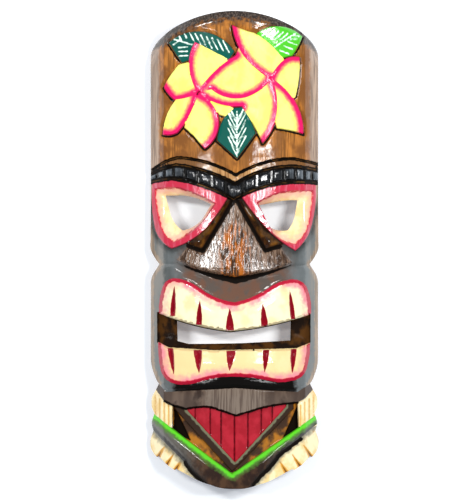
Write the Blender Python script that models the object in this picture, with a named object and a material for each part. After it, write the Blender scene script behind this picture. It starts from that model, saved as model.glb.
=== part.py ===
"""A wooden tiki mask, carved in relief from one half log and hollowed behind.

The mask lies on its flat back with its face up: X across the face, Y towards
the crown, Z out of the face. The origin is the middle of the back. Lengths
are metres. The carving is drawn on a pattern sheet, as a carver would pin to
the log, and UNIT is the size of one unit of the sheet.
"""

import math

import bmesh
import bpy
import numpy as np
from mathutils import Vector
from mathutils.geometry import delaunay_2d_cdt

# Driving sizes of the half log
MASK_HEIGHT = 0.500  # crown to foot, along Y
FACE_HEIGHT = 0.056  # crest of the round face above the flat back
SHOULDER_HEIGHT = 0.034  # where the round face meets the hewn side facets
EDGE_HEIGHT = 0.015  # the facets' outer edge
LEAST_EDGE = 0.006  # wood left at the rim, however deep the carving
WALL_THICKNESS = 0.020  # from the round face to the hollow behind it

# The hollow behind the face
HOLLOW_WIDTH = 0.152
HOLLOW_LENGTH = 0.440
HOLLOW_CORNER = 0.030  # radius where its sides meet its ends
HOLLOW_SLOPE = 0.0024  # how far its wall leans in

# Places and widths on the pattern sheet, in its units
SHOULDER_X = 74
RIM_X = 88.5
WALL = 1.4  # a knife cut's slope, seen from the front
MOAT = 3.4  # furrow round the flowers
LINE_WIDTH = 3.6
BEAD_GAP = 2.4
BEAD_ROUND = 2.4
NOSE_WALL = 4.0
GUM_LINE = 4.4
GAP_BULGE = 0.9  # how far the sides of a gap between teeth bow outwards
CROWN_BEVEL = 8.0
CROWN_FROM_Y = 205
CROWN_FADE = 12
MIDDLE_BELOW_Y = 76  # brow, eyes and nose are cut below this line
MOUTH_BELOW_Y = -14
JAW_BELOW_Y = -138
FOOT_SAG = 1.4
CHEEK_FADE_X = (80, 89)  # where the cheek's cut runs out to the side
CHEEK_FADE_Y = (-18, -10)  # and down towards the fold
LIP_FADE_X = (64, 78)
LIP_FOOT_Y = (-60, -52)
LIP_TOP_Y = (-26, -18)
NOSE_HALF_WIDTHS = (12, 62)  # at its root and at its tip
NOSE_REACH_Y = (54, -20)
FINGER_GROOVE = 3.2
PLEAT_GROOVE = 2.6
ARM_ROUND = 7.0

# Rises above the round face, and depths cut into it
PETAL_CREST_RISE = 0.0036
PETAL_FOOT_RISE = 0.0014
PETAL_FALL = 20.0  # units from a petal's crest to its foot
LEAF_RISE = 0.0018
MOAT_DEPTH = 0.0012
CROWN_DROP = 0.0065
LINE_DEPTH = 0.0024
BEAD_FLOOR = 0.0042
BEAD_TOP = 0.0006
BOSS_RISE = 0.0016
CHEEK_DEPTH = 0.0042
TRENCH_SIDE_DEPTH = 0.0066
TRENCH_DEPTH = 0.0115  # along its middle
TRENCH_HALF = 8.0  # units from a trench's side to its middle
EYE_RIM_DEPTH = 0.0008
EYE_SHELF_DEPTH = 0.0030  # where the sill starts, just inside the rim
EYE_SILL_DEPTH = 0.0125  # where it ends at the opening
NOSE_ROOT_DEPTH = 0.0050
NOSE_TIP_RISE = 0.0050
NOSE_SIDE_DROP = 0.0042
FOLD_DEPTH = 0.0050  # under the nose, and under the jaw
LIP_DEPTH = 0.0055
TOOTH_RISE = 0.0012
TOOTH_BOW = 0.0012
GUM_DEPTH = 0.0012
NOTCH_DEPTH = 0.0042
MOUTH_EDGE_DEPTH = 0.0050
MOUTH_SILL_DEPTH = 0.0130
CHIN_DEPTH = 0.0024
RECESS_DEPTH = 0.0100
PIT_DEPTH = 0.0126
COLLAR_DEPTH = 0.0056
SHIELD_DEPTH = 0.0084
PLEAT_DEPTH = 0.0012
ARM_CREST_DEPTH = 0.0006
ARM_EDGE_DEPTH = 0.0052
HAND_DEPTH = 0.0034
FOOT_DEPTH = 0.0060
FINGER_DEPTH = 0.0014

# How finely the solid follows the carving, in units
CHORD_ERROR = 0.35
LONGEST_STEP = 9.5
FILL_STEP = 8.0
FILL_CLEARANCE = 3.4
SNAP = 0.2
BACK_STEP = 18.0
BLOCK = 60_000  # distances measured at once

# Outlines run anticlockwise. Each point is (x, y, sag): sag is how far the
# stretch that leaves it bulges to the right of the way it runs.
HALF_RIM = [
    (0, 250, 3.4), (-57, 236.5, 0.8), (-74.5, 225, 0.8), (-85, 213.5, 0.5), (-88.4, 204.5, 0),
    (-88.2, 45, 0), (-88.5, 8, 1.4), (-85.3, -6, 0.4), (-79, -15, 0), (-85.3, -25, 1.0),
    (-88.2, -37.5, 0), (-88.2, -115, 0.8), (-84.5, -131, 0.5), (-79.5, -141, 0), (-83, -148, 0),
    (-87, -155, 0.5), (-87.2, -166, 0), (-84.3, -172.5, 0), (-87.2, -181, 0.5), (-85.4, -190.5, 0),
    (-88.4, -199, 0.5), (-88.2, -209, 0.8), (-81.5, -218.5, 0), (-79.5, -217.5, 0), (-71, -226, 0),
    (-62.5, -231.5, 0), (-61, -230, 0), (-42, -239.8, 0.6), (-25, -246, 1.4),
]
FOOT_END = (0, -250)
SHEET_HEIGHT = HALF_RIM[0][1] - FOOT_END[1]
UNIT = MASK_HEIGHT / SHEET_HEIGHT

# The forehead's flowers. A petal is high along its crests and low elsewhere,
# and it tucks under the petal that the last entry names.
PETALS = {
    "scrap": ([(-36, 160, 0), (-15, 141, 0), (-10, 139.5, 0), (-1, 147.5, 0), (-10, 157, 0)], [], "south"),
    "south": ([(-31, 105.7, 18), (-38, 163, 0), (-50, 146, 0), (-52, 128, 0), (-41.9, 118.8, 0)],
              [[(-31, 105.7, 18), (-38, 163)]], "south_west"),
    "south_west": ([(-75, 121, 1.5), (-60, 122.5, 3.5), (-39, 164, 0), (-52, 168, 0), (-62.5, 155.5, 0.5),
                    (-70, 143, 1)],
                   [[(-75, 121, 1.5), (-60, 122.5, 3.5), (-39, 164)]], "west"),
    "west": ([(-74, 171, 1), (-63, 157, 1.8), (-38, 165, 0), (-42, 198, 0), (-58.5, 193.5, 0.8)],
             [[(-74, 171, 1), (-63, 157, 1.8), (-38, 165)]], "north"),
    "north": ([(-38, 165, 0), (-5, 188, 0), (-8, 199.5, 0), (-41.3, 217, 8)],
              [[(-41.3, 217, 8), (-38, 165)]], "shared"),
    "low_east": ([(38, 179, 0), (37, 150, 0), (44.6, 127.3, -0.8), (72, 121.5, 10)],
                 [[(72, 121.5, 10), (38, 179)]], "low_west"),
    "low_west": ([(38, 179, 0), (0, 181, 0), (-38, 164, 5), (7.7, 149.6, -1.4), (29.3, 111.4, 11)],
                 [[(29.3, 111.4, 11), (38, 179)], [(-38, 164, 5), (7.7, 149.6)]], "shared"),
    "shared": ([(-38, 165, 0), (-24, 167.5, 15), (37.6, 179.5, 0), (28, 201, 0), (5, 213, 0),
                (1.3, 203, 3.7)],
               [[(1.3, 203, 3.7), (-38, 165)], [(-24, 167.5, 15), (37.6, 179.5)]], "top"),
    "top": ([(37.6, 179.5, 0), (56, 196, 0), (48, 203, 2), (20, 226.5, -0.8), (-2.5, 234.8, 9)],
            [[(-2.5, 234.8, 9), (37.6, 179.5)]], "east"),
    "east": ([(38, 179, 0), (58, 152, 0), (63.7, 161, 1.5), (68.1, 202, 3.5), (46, 193.5, 0.8)],
             [[(68.1, 202, 3.5), (46, 193.5, 0.8), (38, 179)]], "low_east"),
}
LEAVES = {
    "left_leaf": [(0, 207, 16), (-69, 217, 0), (-60, 203, 0), (-55, 196, 0), (-42, 200, 0), (-8, 195, 0)],
    "right_leaf": [(71, 224, 8.5), (23.5, 226.5, 0), (30, 214, 0), (48, 200, 0), (60, 203, 1)],
    "low_leaf": [(-2.5, 148, 1.5), (-15.5, 128, 0.5), (-18, 114, 0), (2.6, 95.2, 0), (22, 121.5, 1),
                 (9, 149, 0)],
}

# The brow
BROW_HIGH = [(-94, 77, -3), (-60, 96.5, -4), (1.3, 78, -4), (60, 95.5, -0.5), (94, 88.5, 0)]
BROW_LOW = [(-94, 77, -1.5), (-61, 89, -3), (0.7, 69, -4.5), (62, 87.5, -0.5), (94, 82.5, 0)]
LID_LINE = [(-94, 69.5, -1.2), (-64, 74.6, -3), (-1, 52.5, -4), (62, 71, -0.5), (94, 70, 0)]
BEAD_ENDS = (9, 23.5, 38.5, 52, 64, 73.5, 81.5, 92)  # from the middle outwards
BOSS = (0.7, 60.5, 6.6)  # centre and radius

# The eyes: outer edge of the rim, its inner edge, and the opening
LEFT_EYE = (
    [(-7, 54.5, 0.5), (-22, 63, 1.8), (-57, 73, 1.2), (-86.5, 69.5, 1.5), (-84, 25, 3.4), (-66, 1.3, 3.0),
     (-28, 23.9, 0.8)],
    [(-20.3, 48.1, 1.5), (-57.2, 64.6, 0.8), (-83.5, 64, 1.2), (-78, 26, 2.5), (-64, 8, 2.5), (-30, 33, 0)],
    [(-24.5, 47.5, 1.5), (-54.7, 57, 0), (-72.5, 57, 0), (-67, 36, 1.5), (-54.7, 20.3, 3),
     (-31.8, 35.4, 0)],
)
RIGHT_EYE = (
    [(7.7, 54.5, 0.8), (34.4, 21.4, 1.5), (64, -1, 3.2), (82, 30, 1.5), (85.5, 68.4, 0.5),
     (53.5, 70.4, 1.0),
     (20, 61.2, 0.5)],
    [(23.6, 49.4, -0.5), (40.8, 16.3, 2.2), (64, 5.8, 3.0), (79, 31.5, 0.8), (82.5, 62, 0.5),
     (50, 60.4, 1)],
    [(26, 46.5, 0), (35.7, 25.2, 2.5), (56, 20.5, 1.5), (64, 39.2, 0), (66.2, 51.9, 1.0), (40.8, 49.4, 0)],
)
TRENCHES = (
    [(-1, 53, 0), (-8, 56, 0), (-30, 26, 0), (-52, 9, 0), (-48.5, 3.5, 0), (-33, -1.5, 0)],
    [(2, 53, 0), (32, -1.5, 0), (47, 3.5, 0), (53, 8, 0), (33, 22, 0), (9, 56, 0)],
)
NOSE = [(0.7, 54, 0), (-33, -1.5, 0), (-48, 4, 0), (-60, -10.5, 3), (1.3, -29, 2), (60, -13.5, 0),
        (47, 3.6, 0),
        (32, -1, 0)]
FOLD_UNDER_NOSE = [(-92, -15, 0), (-61, -14.5, 3), (1.3, -32.5, 2), (61, -17, 0), (92, -15, 0)]
FOLD_UNDER_JAW = [(-92, -139, 0), (-72, -150.5, 0), (0, -146, 0), (66, -151, 0), (92, -139, 0)]

# The mouth
UPPER_TEETH = [(-79, -66.5, 2.6), (-4, -85, 2.3), (80, -67.5, 1.5), (76.5, -41.5, 3), (61, -31.5, 1.5),
               (38, -39, -2.3), (0, -55.3, -2.5), (-35.6, -41.3, 2), (-61, -30.5, 3.3), (-75.3, -40, 1.2)]
LOWER_TEETH = [(-80, -97.5, 0.8), (-77, -127, 3.2), (-60, -140.6, 1.5), (-34, -137, -1.2),
               (-3.8, -132.3, -1.2),
               (36, -136.5, 1.5), (60, -137, 3.5), (76, -123, 1), (79, -98.5, 0), (65, -103.7, 0),
               (-20, -105.5, 0), (-69, -103, 0)]
MOUTH = [(-81, -66, 0), (-81, -97.5, 0), (-68, -108, 0), (66, -108, 0), (79.5, -98.5, 0), (79.5, -67, 0)]
MOUTH_OPENING = [(-60.4, -74.8, 0), (-59.8, -96, 0), (-48, -99, 0), (9, -98, 0), (58.6, -95.4, 0),
                 (59.2, -75.2, -1.3), (-4, -86.6, -1.6)]
# A gap between teeth: x and y at each side of its mouth, then its point
GAPS = (
    (-67.4, -62.3, -69.5, -62.9, -38.2), (-40, -34.3, -78.5, -36.2, -52.8),
    (-8.9, -0.6, -84.2, -5.1, -61.7),
    (28, 35, -80, 29.6, -56.6), (59.2, 63.7, -72.6, 57.9, -42.6), (-69.9, -64.6, -103.4, -63.6, -130.4),
    (-42.6, -34.3, -105, -37.1, -129.1), (-8.2, 1.3, -105.6, -5.3, -126.6),
    (29.9, 36.3, -105, 31.6, -127.9),
    (59.2, 64.9, -104.2, 60.5, -129.1),
)

# Below the jaw
CHIN = [(-80, -141, 0), (-84, -148, 0), (-74, -159, 0), (-64.8, -163.2, 0), (-50.9, -167, -1),
        (-25, -164.5, 0),
        (1.3, -173.4, 0), (28, -165.7, -1), (66.2, -160.7, 0), (84, -148, 0), (80, -141, 0),
        (66, -149.5, 0), (0, -145, 0), (-72, -149.5, 0)]
RECESS = [(-64.5, -160, 0), (-65, -191, 0), (-2.5, -238, 0), (67, -191, 0), (66.5, -158, 0)]
PITS = (
    [(-63, -164, 0), (-64, -192, 0), (-46, -200, 0)],
    [(66, -164, 0), (57, -184, 0), (50, -200, 0), (67, -190, 0)],
)
COLLAR = [(-63, -160, 0), (-63, -167, 0), (-2.5, -232, 0), (62, -167, 0), (62, -158, 0)]
SHIELD = [(-50, -160, 0), (-50, -167.5, 0), (0.7, -222.4, 0), (54, -164.5, 0), (54, -158, 0)]
PLEATS = (-41.3, -25.4, -14, 0, 14, 28, 39.5)
ARMS = [(-92, -168, 0), (-92, -184, 0), (-52, -223, 1), (-40, -238, 0), (-22, -256, 0), (14, -256, 0),
        (28, -237, 1), (47, -215.4, 0), (92, -179.5, 0), (92, -170, 0), (-2.5, -234.4, 0)]
HAND_TOP = -150  # where the finger grooves start beside the rim
HAND_FOOT = -192
HAND_LEAN = 0.7  # and how much lower for each unit inwards
HANDS = (
    [(-84, -146, 0), (-95, -158, 0), (-95, -182, 0), (-66, -193, 0), (-64.8, -164.5, 0), (-74, -159.5, 0)],
    [(84, -146, 0), (75, -156, 0), (66.2, -161, 0), (67.5, -193, 0), (95, -182, 0), (95, -158, 0)],
)
FEET = [(-95, -180, 0), (-95, -256, 0), (95, -256, 0), (95, -180, 0), (0, -235, 0)]
FINGERS = (69.3, 73.8, 78.6, 83.2)  # grooves between a hand's fingers, from the middle
TOES = ((-80.5, -218), (-71, -225.5), (-61.6, -230.5), (55, -234), (68.5, -227), (80.5, -217.5))
TOE_REACH = (5, 14)  # how far a toe's groove runs out past the rim, and in from it
TOE_LEAN = (0.55, 0.84)  # its direction, inwards and up


def sample(points, closed=True):
    """The points of an outline, with its curved stretches as short chords."""
    stops = [tuple(point) + (0,) * (3 - len(point)) for point in points]
    line = []
    for index in range(len(stops) if closed else len(stops) - 1):
        start, end = stops[index], stops[(index + 1) % len(stops)]
        across = np.subtract(end[:2], start[:2])
        length = math.hypot(*across)
        sag = start[2]
        steps = max(1, math.ceil(length / LONGEST_STEP))
        if sag:
            radius = (length ** 2 / 4 + sag ** 2) / (2 * abs(sag))
            sweep = 4 * math.atan(2 * abs(sag) / length)
            chord = 2 * math.acos(1 - CHORD_ERROR / radius)
            steps = max(steps, math.ceil(sweep / chord))
        along = across / length
        right = np.array((along[1], -along[0]))
        middle = np.add(start[:2], end[:2]) / 2
        for step in range(steps):
            share = 2 * step / steps - 1
            if sag:
                angle = share * sweep / 2
                bulge = radius * (math.cos(angle) - math.cos(sweep / 2)) * math.copysign(1, sag)
                place = middle + along * radius * math.sin(angle) + right * bulge
            else:
                place = middle + along * share * length / 2
            line.append(place)
    if not closed:
        line.append(np.array(stops[-1][:2], dtype=float))
    return np.array(line)


def distance(places, line, closed=True):
    """Distance from each place to a line."""
    starts = line if closed else line[:-1]
    alongs = (np.roll(line, -1, axis=0) if closed else line[1:]) - starts
    squares = np.maximum((alongs ** 2).sum(axis=1), 1e-12)
    nearest = np.full(len(places), np.inf)
    stretches = max(1, BLOCK // max(1, len(places)))
    for first in range(0, len(starts), stretches):
        some = slice(first, first + stretches)
        gap = places[:, None, :] - starts[some]
        share = np.clip((gap * alongs[some]).sum(axis=2) / squares[some], 0, 1)
        gap = gap - share[:, :, None] * alongs[some]
        nearest = np.minimum(nearest, (gap ** 2).sum(axis=2).min(axis=1))
    return np.sqrt(nearest)


def depth_outside(places, ring):
    """Distance outside a closed outline, negative inside it."""
    x, y = places[:, 0:1], places[:, 1:2]
    ends = np.roll(ring, -1, axis=0)
    rise = np.where(ends[:, 1] == ring[:, 1], 1.0, ends[:, 1] - ring[:, 1])
    meets = ring[:, 0] + (y - ring[:, 1]) * (ends[:, 0] - ring[:, 0]) / rise
    crossed = ((ring[:, 1] > y) != (ends[:, 1] > y)) & (x < meets)
    inside = crossed.sum(axis=1) % 2 == 1
    return np.where(inside, -1, 1) * distance(places, ring)


def ramp(value, low, high):
    return np.clip((value - low) / (high - low), 0, 1)


def within(outside, wall=WALL):
    """1 inside an outline and 0 outside it, across the slope of a cut."""
    return 1 - ramp(outside, -wall / 2, wall / 2)


def vee(away, width):
    """The section of a V-shaped groove: 1 at its line, 0 at its edges."""
    return np.clip(1 - away / (width / 2), 0, 1)


def mix(low, high, share):
    return low + (high - low) * share


def snapped(line):
    """A line with its points on a fine grid, so that no two nearly meet."""
    return np.round(line / SNAP) * SNAP


def gap_outline(left, right, y, tip_x, tip_y):
    """A gap between teeth: straight at its mouth, bowed up to its point."""
    if tip_y < y:
        left, right = right, left
    return sample([(left, y, 0), (right, y, GAP_BULGE), (tip_x, tip_y, GAP_BULGE)])


def rim_outline():
    left = HALF_RIM
    stretches = [point[2] for point in left]
    right = [(-x, y, sag) for (x, y, _), sag in zip(left[:0:-1], stretches[-2::-1])]
    foot = [left[-1][:2] + (FOOT_SAG,), FOOT_END + (FOOT_SAG,)]
    return sample(left[:-1] + foot + right)


RIM = snapped(rim_outline())
PETAL_RINGS = {name: sample(entry[0]) for name, entry in PETALS.items()}
PETAL_CRESTS = {name: [sample(crest, False) for crest in entry[1]] for name, entry in PETALS.items()}
LEAF_RINGS = {name: sample(entry) for name, entry in LEAVES.items()}
BROW_LINES = [sample(line, False) for line in (BROW_HIGH, BROW_LOW, LID_LINE)]
EYES = [[sample(ring) for ring in eye] for eye in (LEFT_EYE, RIGHT_EYE)]
TRENCH_RINGS = [sample(ring) for ring in TRENCHES]
NOSE_RING = sample(NOSE)
FOLDS = [sample(line, False) for line in (FOLD_UNDER_NOSE, FOLD_UNDER_JAW)]
TEETH = [sample(ring) for ring in (UPPER_TEETH, LOWER_TEETH)]
MOUTH_RING = sample(MOUTH)
OPENINGS = [snapped(ring) for ring in (EYES[0][2], EYES[1][2], sample(MOUTH_OPENING))]
GAP_RINGS = [gap_outline(*gap) for gap in GAPS]
RINGS_BELOW = {"chin": sample(CHIN), "recess": sample(RECESS), "collar": sample(COLLAR),
               "shield": sample(SHIELD), "arms": sample(ARMS), "feet": sample(FEET)}
PIT_RINGS = [sample(ring) for ring in PITS]
HAND_RINGS = [sample(ring) for ring in HANDS]


def petal_outside(places, name):
    """Distance outside the part of a petal that its neighbour leaves bare."""
    over = PETALS[name][2]
    return np.maximum(depth_outside(places, PETAL_RINGS[name]), -depth_outside(places, PETAL_RINGS[over]))


def flowers_outside(places):
    rings = list(PETAL_RINGS.values()) + list(LEAF_RINGS.values())
    return np.min([depth_outside(places, ring) for ring in rings], axis=0)


def brow_height(line, x):
    return np.interp(x, line[:, 0], line[:, 1])


def mouth_outside(places):
    """Distance outside the open mouth, between the rows of teeth."""
    teeth = [-depth_outside(places, ring) for ring in TEETH]
    return np.max([depth_outside(places, MOUTH_RING)] + teeth, axis=0)


def toe_line(x, y):
    """The groove beside a toe, from outside the rim inwards."""
    inward = np.array((-math.copysign(TOE_LEAN[0], x), TOE_LEAN[1]))
    return np.array([(x, y) - inward * TOE_REACH[0], (x, y), (x, y) + inward * TOE_REACH[1]])


def bead_corners(start, end, inset):
    """The outline of one bead of the brow, between two places across it."""
    xs = np.array([start + BEAD_GAP / 2 + inset, (start + end) / 2, end - BEAD_GAP / 2 - inset])
    sides = []
    for side in (-1, 1):
        low = [(side * x, brow_height(BROW_LINES[2], side * x) + BEAD_GAP + inset) for x in xs]
        high = [(side * x, brow_height(BROW_LINES[1], side * x) - BEAD_GAP - inset) for x in xs[::-1]]
        sides.append(np.array(low + high))
    return sides


def toe_grooves(places):
    """How deep the short grooves between the toes run, from 0 to 1."""
    share = np.zeros(len(places))
    for x, y in TOES:
        groove = toe_line(x, y)
        share = np.maximum(share, vee(distance(places, groove, False), FINGER_GROOVE))
    return share


def carve_flowers(places, cut):
    for ring in LEAF_RINGS.values():
        cut = mix(cut, -LEAF_RISE, within(depth_outside(places, ring)))
    for name in PETALS:
        fall = np.zeros(len(places)) + PETAL_FALL
        for crest in PETAL_CRESTS[name]:
            fall = np.minimum(fall, distance(places, crest, False))
        top = mix(-PETAL_CREST_RISE, -PETAL_FOOT_RISE, ramp(fall, 0, PETAL_FALL))
        cut = mix(cut, top, within(petal_outside(places, name)))
    furrow = ramp(flowers_outside(places), MOAT, WALL / 2) * (flowers_outside(places) > 0)
    return cut + MOAT_DEPTH * furrow


def carve_brow(places, cut):
    x, y = places[:, 0], places[:, 1]
    high, low, lid = (brow_height(line, x) for line in BROW_LINES)
    band = np.minimum(low - y, y - lid)
    bead = band - BEAD_GAP
    for end in (0,) + BEAD_ENDS:
        bead = np.minimum(bead, np.abs(np.abs(x) - end) - BEAD_GAP / 2)
    beads = mix(BEAD_FLOOR, BEAD_TOP, ramp(bead, 0, BEAD_ROUND))
    cut = mix(cut, beads, ramp(band, 0, WALL))
    for line in BROW_LINES:
        cut = cut + LINE_DEPTH * vee(distance(places, line, False), LINE_WIDTH)
    boss = BOSS[2] - np.hypot(x - BOSS[0], y - BOSS[1])
    return mix(cut, -BOSS_RISE * np.sqrt(ramp(boss, 0, BOSS[2])), ramp(boss, -WALL, 0))


def carve_middle(places, cut):
    x, y = places[:, 0], places[:, 1]
    lid = brow_height(BROW_LINES[2], x)
    cheek = ramp(lid - y, 0, LINE_WIDTH) * ramp(y, *CHEEK_FADE_Y) * (1 - ramp(np.abs(x), *CHEEK_FADE_X))
    cut = mix(cut, CHEEK_DEPTH, cheek)
    for ring in TRENCH_RINGS:
        outside = depth_outside(places, ring)
        floor = mix(TRENCH_SIDE_DEPTH, TRENCH_DEPTH, ramp(-outside, 0, TRENCH_HALF))
        cut = mix(cut, floor, within(outside, 2 * WALL))
    forward = ramp(y, *NOSE_REACH_Y)
    nose = mix(NOSE_ROOT_DEPTH, -NOSE_TIP_RISE, forward)
    nose = nose + NOSE_SIDE_DROP * (x / mix(*NOSE_HALF_WIDTHS, forward)) ** 2
    cut = mix(cut, nose, within(depth_outside(places, NOSE_RING), NOSE_WALL))
    for rim, shelf, opening in EYES:
        into = -depth_outside(places, shelf)
        share = ramp(into, 0, np.maximum(into, 0) + np.maximum(depth_outside(places, opening), 0) + 1e-6)
        sill = mix(EYE_SHELF_DEPTH, EYE_SILL_DEPTH, share)
        cut = mix(cut, EYE_RIM_DEPTH, within(depth_outside(places, rim)))
        cut = mix(cut, sill, within(-into))
    for line in FOLDS:
        cut = mix(cut, FOLD_DEPTH, vee(distance(places, line, False), 3 * LINE_WIDTH))
    return cut


def carve_mouth(places, cut):
    x, y = places[:, 0], places[:, 1]
    upper = depth_outside(places, TEETH[0])
    lip = ramp(upper, 2, 15) * ramp(y, *LIP_FOOT_Y) * (1 - ramp(y, *LIP_TOP_Y))
    lip = lip * (1 - ramp(np.abs(x), *LIP_FADE_X))
    cut = mix(cut, LIP_DEPTH, lip * ramp(depth_outside(places, NOSE_RING), 0, NOSE_WALL))
    into = -mouth_outside(places)
    to_opening = np.maximum(depth_outside(places, OPENINGS[2]), 0)
    share = ramp(into, 0, np.maximum(into, 0) + to_opening + 1e-6)
    sill = mix(MOUTH_EDGE_DEPTH, MOUTH_SILL_DEPTH, share)
    cut = mix(cut, sill, within(depth_outside(places, MOUTH_RING)))
    for ring in TEETH:
        outside = depth_outside(places, ring)
        bow = -TOOTH_RISE - TOOTH_BOW * ramp(-outside, 0, 14)
        cut = mix(cut, bow, within(outside))
        gum = vee(np.abs(outside), GUM_LINE) * (mouth_outside(places) > GUM_LINE / 2)
        cut = cut + GUM_DEPTH * gum
    for ring in GAP_RINGS:
        width = np.ptp(ring[:, 0])
        cut = cut + NOTCH_DEPTH * ramp(-depth_outside(places, ring), 0, width / 2)
    return cut


def carve_below(places, cut):
    x = places[:, 0]
    outside = {name: depth_outside(places, ring) for name, ring in RINGS_BELOW.items()}
    cut = mix(cut, FOOT_DEPTH, within(outside["feet"]))
    cut = cut + FINGER_DEPTH * toe_grooves(places)
    cut = mix(cut, RECESS_DEPTH, within(outside["recess"]))
    for ring in PIT_RINGS:
        cut = mix(cut, PIT_DEPTH, within(depth_outside(places, ring)))
    cut = mix(cut, COLLAR_DEPTH, within(outside["collar"]))
    pleats = np.max([vee(np.abs(x - pleat), PLEAT_GROOVE) for pleat in PLEATS], axis=0)
    cut = mix(cut, SHIELD_DEPTH + PLEAT_DEPTH * pleats, within(outside["shield"]))
    fingers = np.max([vee(np.abs(np.abs(x) - finger), FINGER_GROOVE) for finger in FINGERS], axis=0)
    for ring in HAND_RINGS:
        cut = mix(cut, HAND_DEPTH + FINGER_DEPTH * fingers, within(depth_outside(places, ring)))
    arm = mix(ARM_EDGE_DEPTH, ARM_CREST_DEPTH, ramp(-outside["arms"], 0, ARM_ROUND))
    cut = mix(cut, arm, within(outside["arms"]))
    return mix(cut, CHIN_DEPTH, within(outside["chin"]))


def blank_height(x):
    """The half log before carving: a round face between two hewn facets."""
    fall = FACE_HEIGHT - SHOULDER_HEIGHT
    shoulder = SHOULDER_X * UNIT
    radius = (shoulder ** 2 + fall ** 2) / (2 * fall)
    reach = np.minimum(np.abs(x) * UNIT, shoulder)
    face = FACE_HEIGHT - radius + np.sqrt(radius ** 2 - reach ** 2)
    facet = (SHOULDER_HEIGHT - EDGE_HEIGHT) * ramp(np.abs(x), SHOULDER_X, RIM_X)
    return face - facet


def face_height(places):
    """How high the carved face stands above the flat back."""
    x, y = places[:, 0], places[:, 1]
    cut = np.zeros(len(places))
    cut = carve_flowers(places, cut)
    cut = carve_brow(places, cut)
    cut = np.where(y < MIDDLE_BELOW_Y, carve_middle(places, cut), cut)
    cut = np.where(y < MOUTH_BELOW_Y, carve_mouth(places, cut), cut)
    cut = np.where(y < JAW_BELOW_Y, carve_below(places, cut), cut)
    crown = ramp(y, CROWN_FROM_Y - CROWN_FADE, CROWN_FROM_Y)
    bevel = crown * ramp(depth_outside(places, RIM), -CROWN_BEVEL, 0)
    return np.maximum(blank_height(x) - cut - CROWN_DROP * bevel, LEAST_EDGE)


def hollow_outline(inset):
    """The hollow's outline on the back: a rectangle with round corners."""
    half_x = HOLLOW_WIDTH / 2 / UNIT - inset
    half_y = HOLLOW_LENGTH / 2 / UNIT - inset
    radius = HOLLOW_CORNER / UNIT - inset
    bulge = radius * (1 - math.sqrt(0.5))
    corner = []
    for side_x, side_y in ((1, 1), (-1, 1), (-1, -1), (1, -1)):
        on_side = (side_x * half_x, side_y * (half_y - radius))
        on_end = (side_x * (half_x - radius), side_y * half_y)
        first, second = (on_side, on_end) if side_x * side_y > 0 else (on_end, on_side)
        corner += [first + (bulge,), second + (0,)]
    return sample(corner)


def back_height(places):
    """Height of the underside: 0 on the rim, and the vault of the hollow."""
    vault = np.maximum(blank_height(places[:, 0]) - WALL_THICKNESS, 0)
    slope = HOLLOW_SLOPE / UNIT
    return vault * ramp(-depth_outside(places, hollow_outline(0)), slope * 0.02, slope * 0.98)


def offset(ring, away):
    """A closed outline moved outwards, with its corners kept sharp."""
    before = ring - np.roll(ring, 1, axis=0)
    after = np.roll(ring, -1, axis=0) - ring
    before = before / np.linalg.norm(before, axis=1)[:, None]
    after = after / np.linalg.norm(after, axis=1)[:, None]
    normal = np.column_stack((before[:, 1] + after[:, 1], -before[:, 0] - after[:, 0]))
    length = np.maximum(np.linalg.norm(normal, axis=1), 0.6)
    return ring + normal * (2 * away / length ** 2)[:, None]


def contour(ring, away, field, closed=True):
    """The stretches of a moved outline that lie where the field says."""
    line = offset(ring, away) if closed and away else ring
    good = np.abs(field(line) - away) < 0.45
    ends = np.roll(line, -1, axis=0) if closed else line[1:]
    starts = line if closed else line[:-1]
    kept = (good & np.roll(good, -1)) if closed else (good[:-1] & good[1:])
    return [(start, end) for start, end, keep in zip(starts, ends, kept) if keep]


def shifted(line, away):
    """An open line moved sideways."""
    along = np.gradient(line, axis=0)
    along = along / np.linalg.norm(along, axis=1)[:, None]
    return line + away * np.column_stack((along[:, 1], -along[:, 0]))


def open_edges(line):
    return list(zip(line[:-1], line[1:]))


def clear_of(rings):
    """How far places are outside all of several outlines."""
    return lambda places: np.min([depth_outside(places, ring) for ring in rings], axis=0)


def ring_edges(ring, *offsets):
    edges = []
    for away in offsets:
        edges += contour(ring, away, lambda places: depth_outside(places, ring))
    return edges


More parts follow.
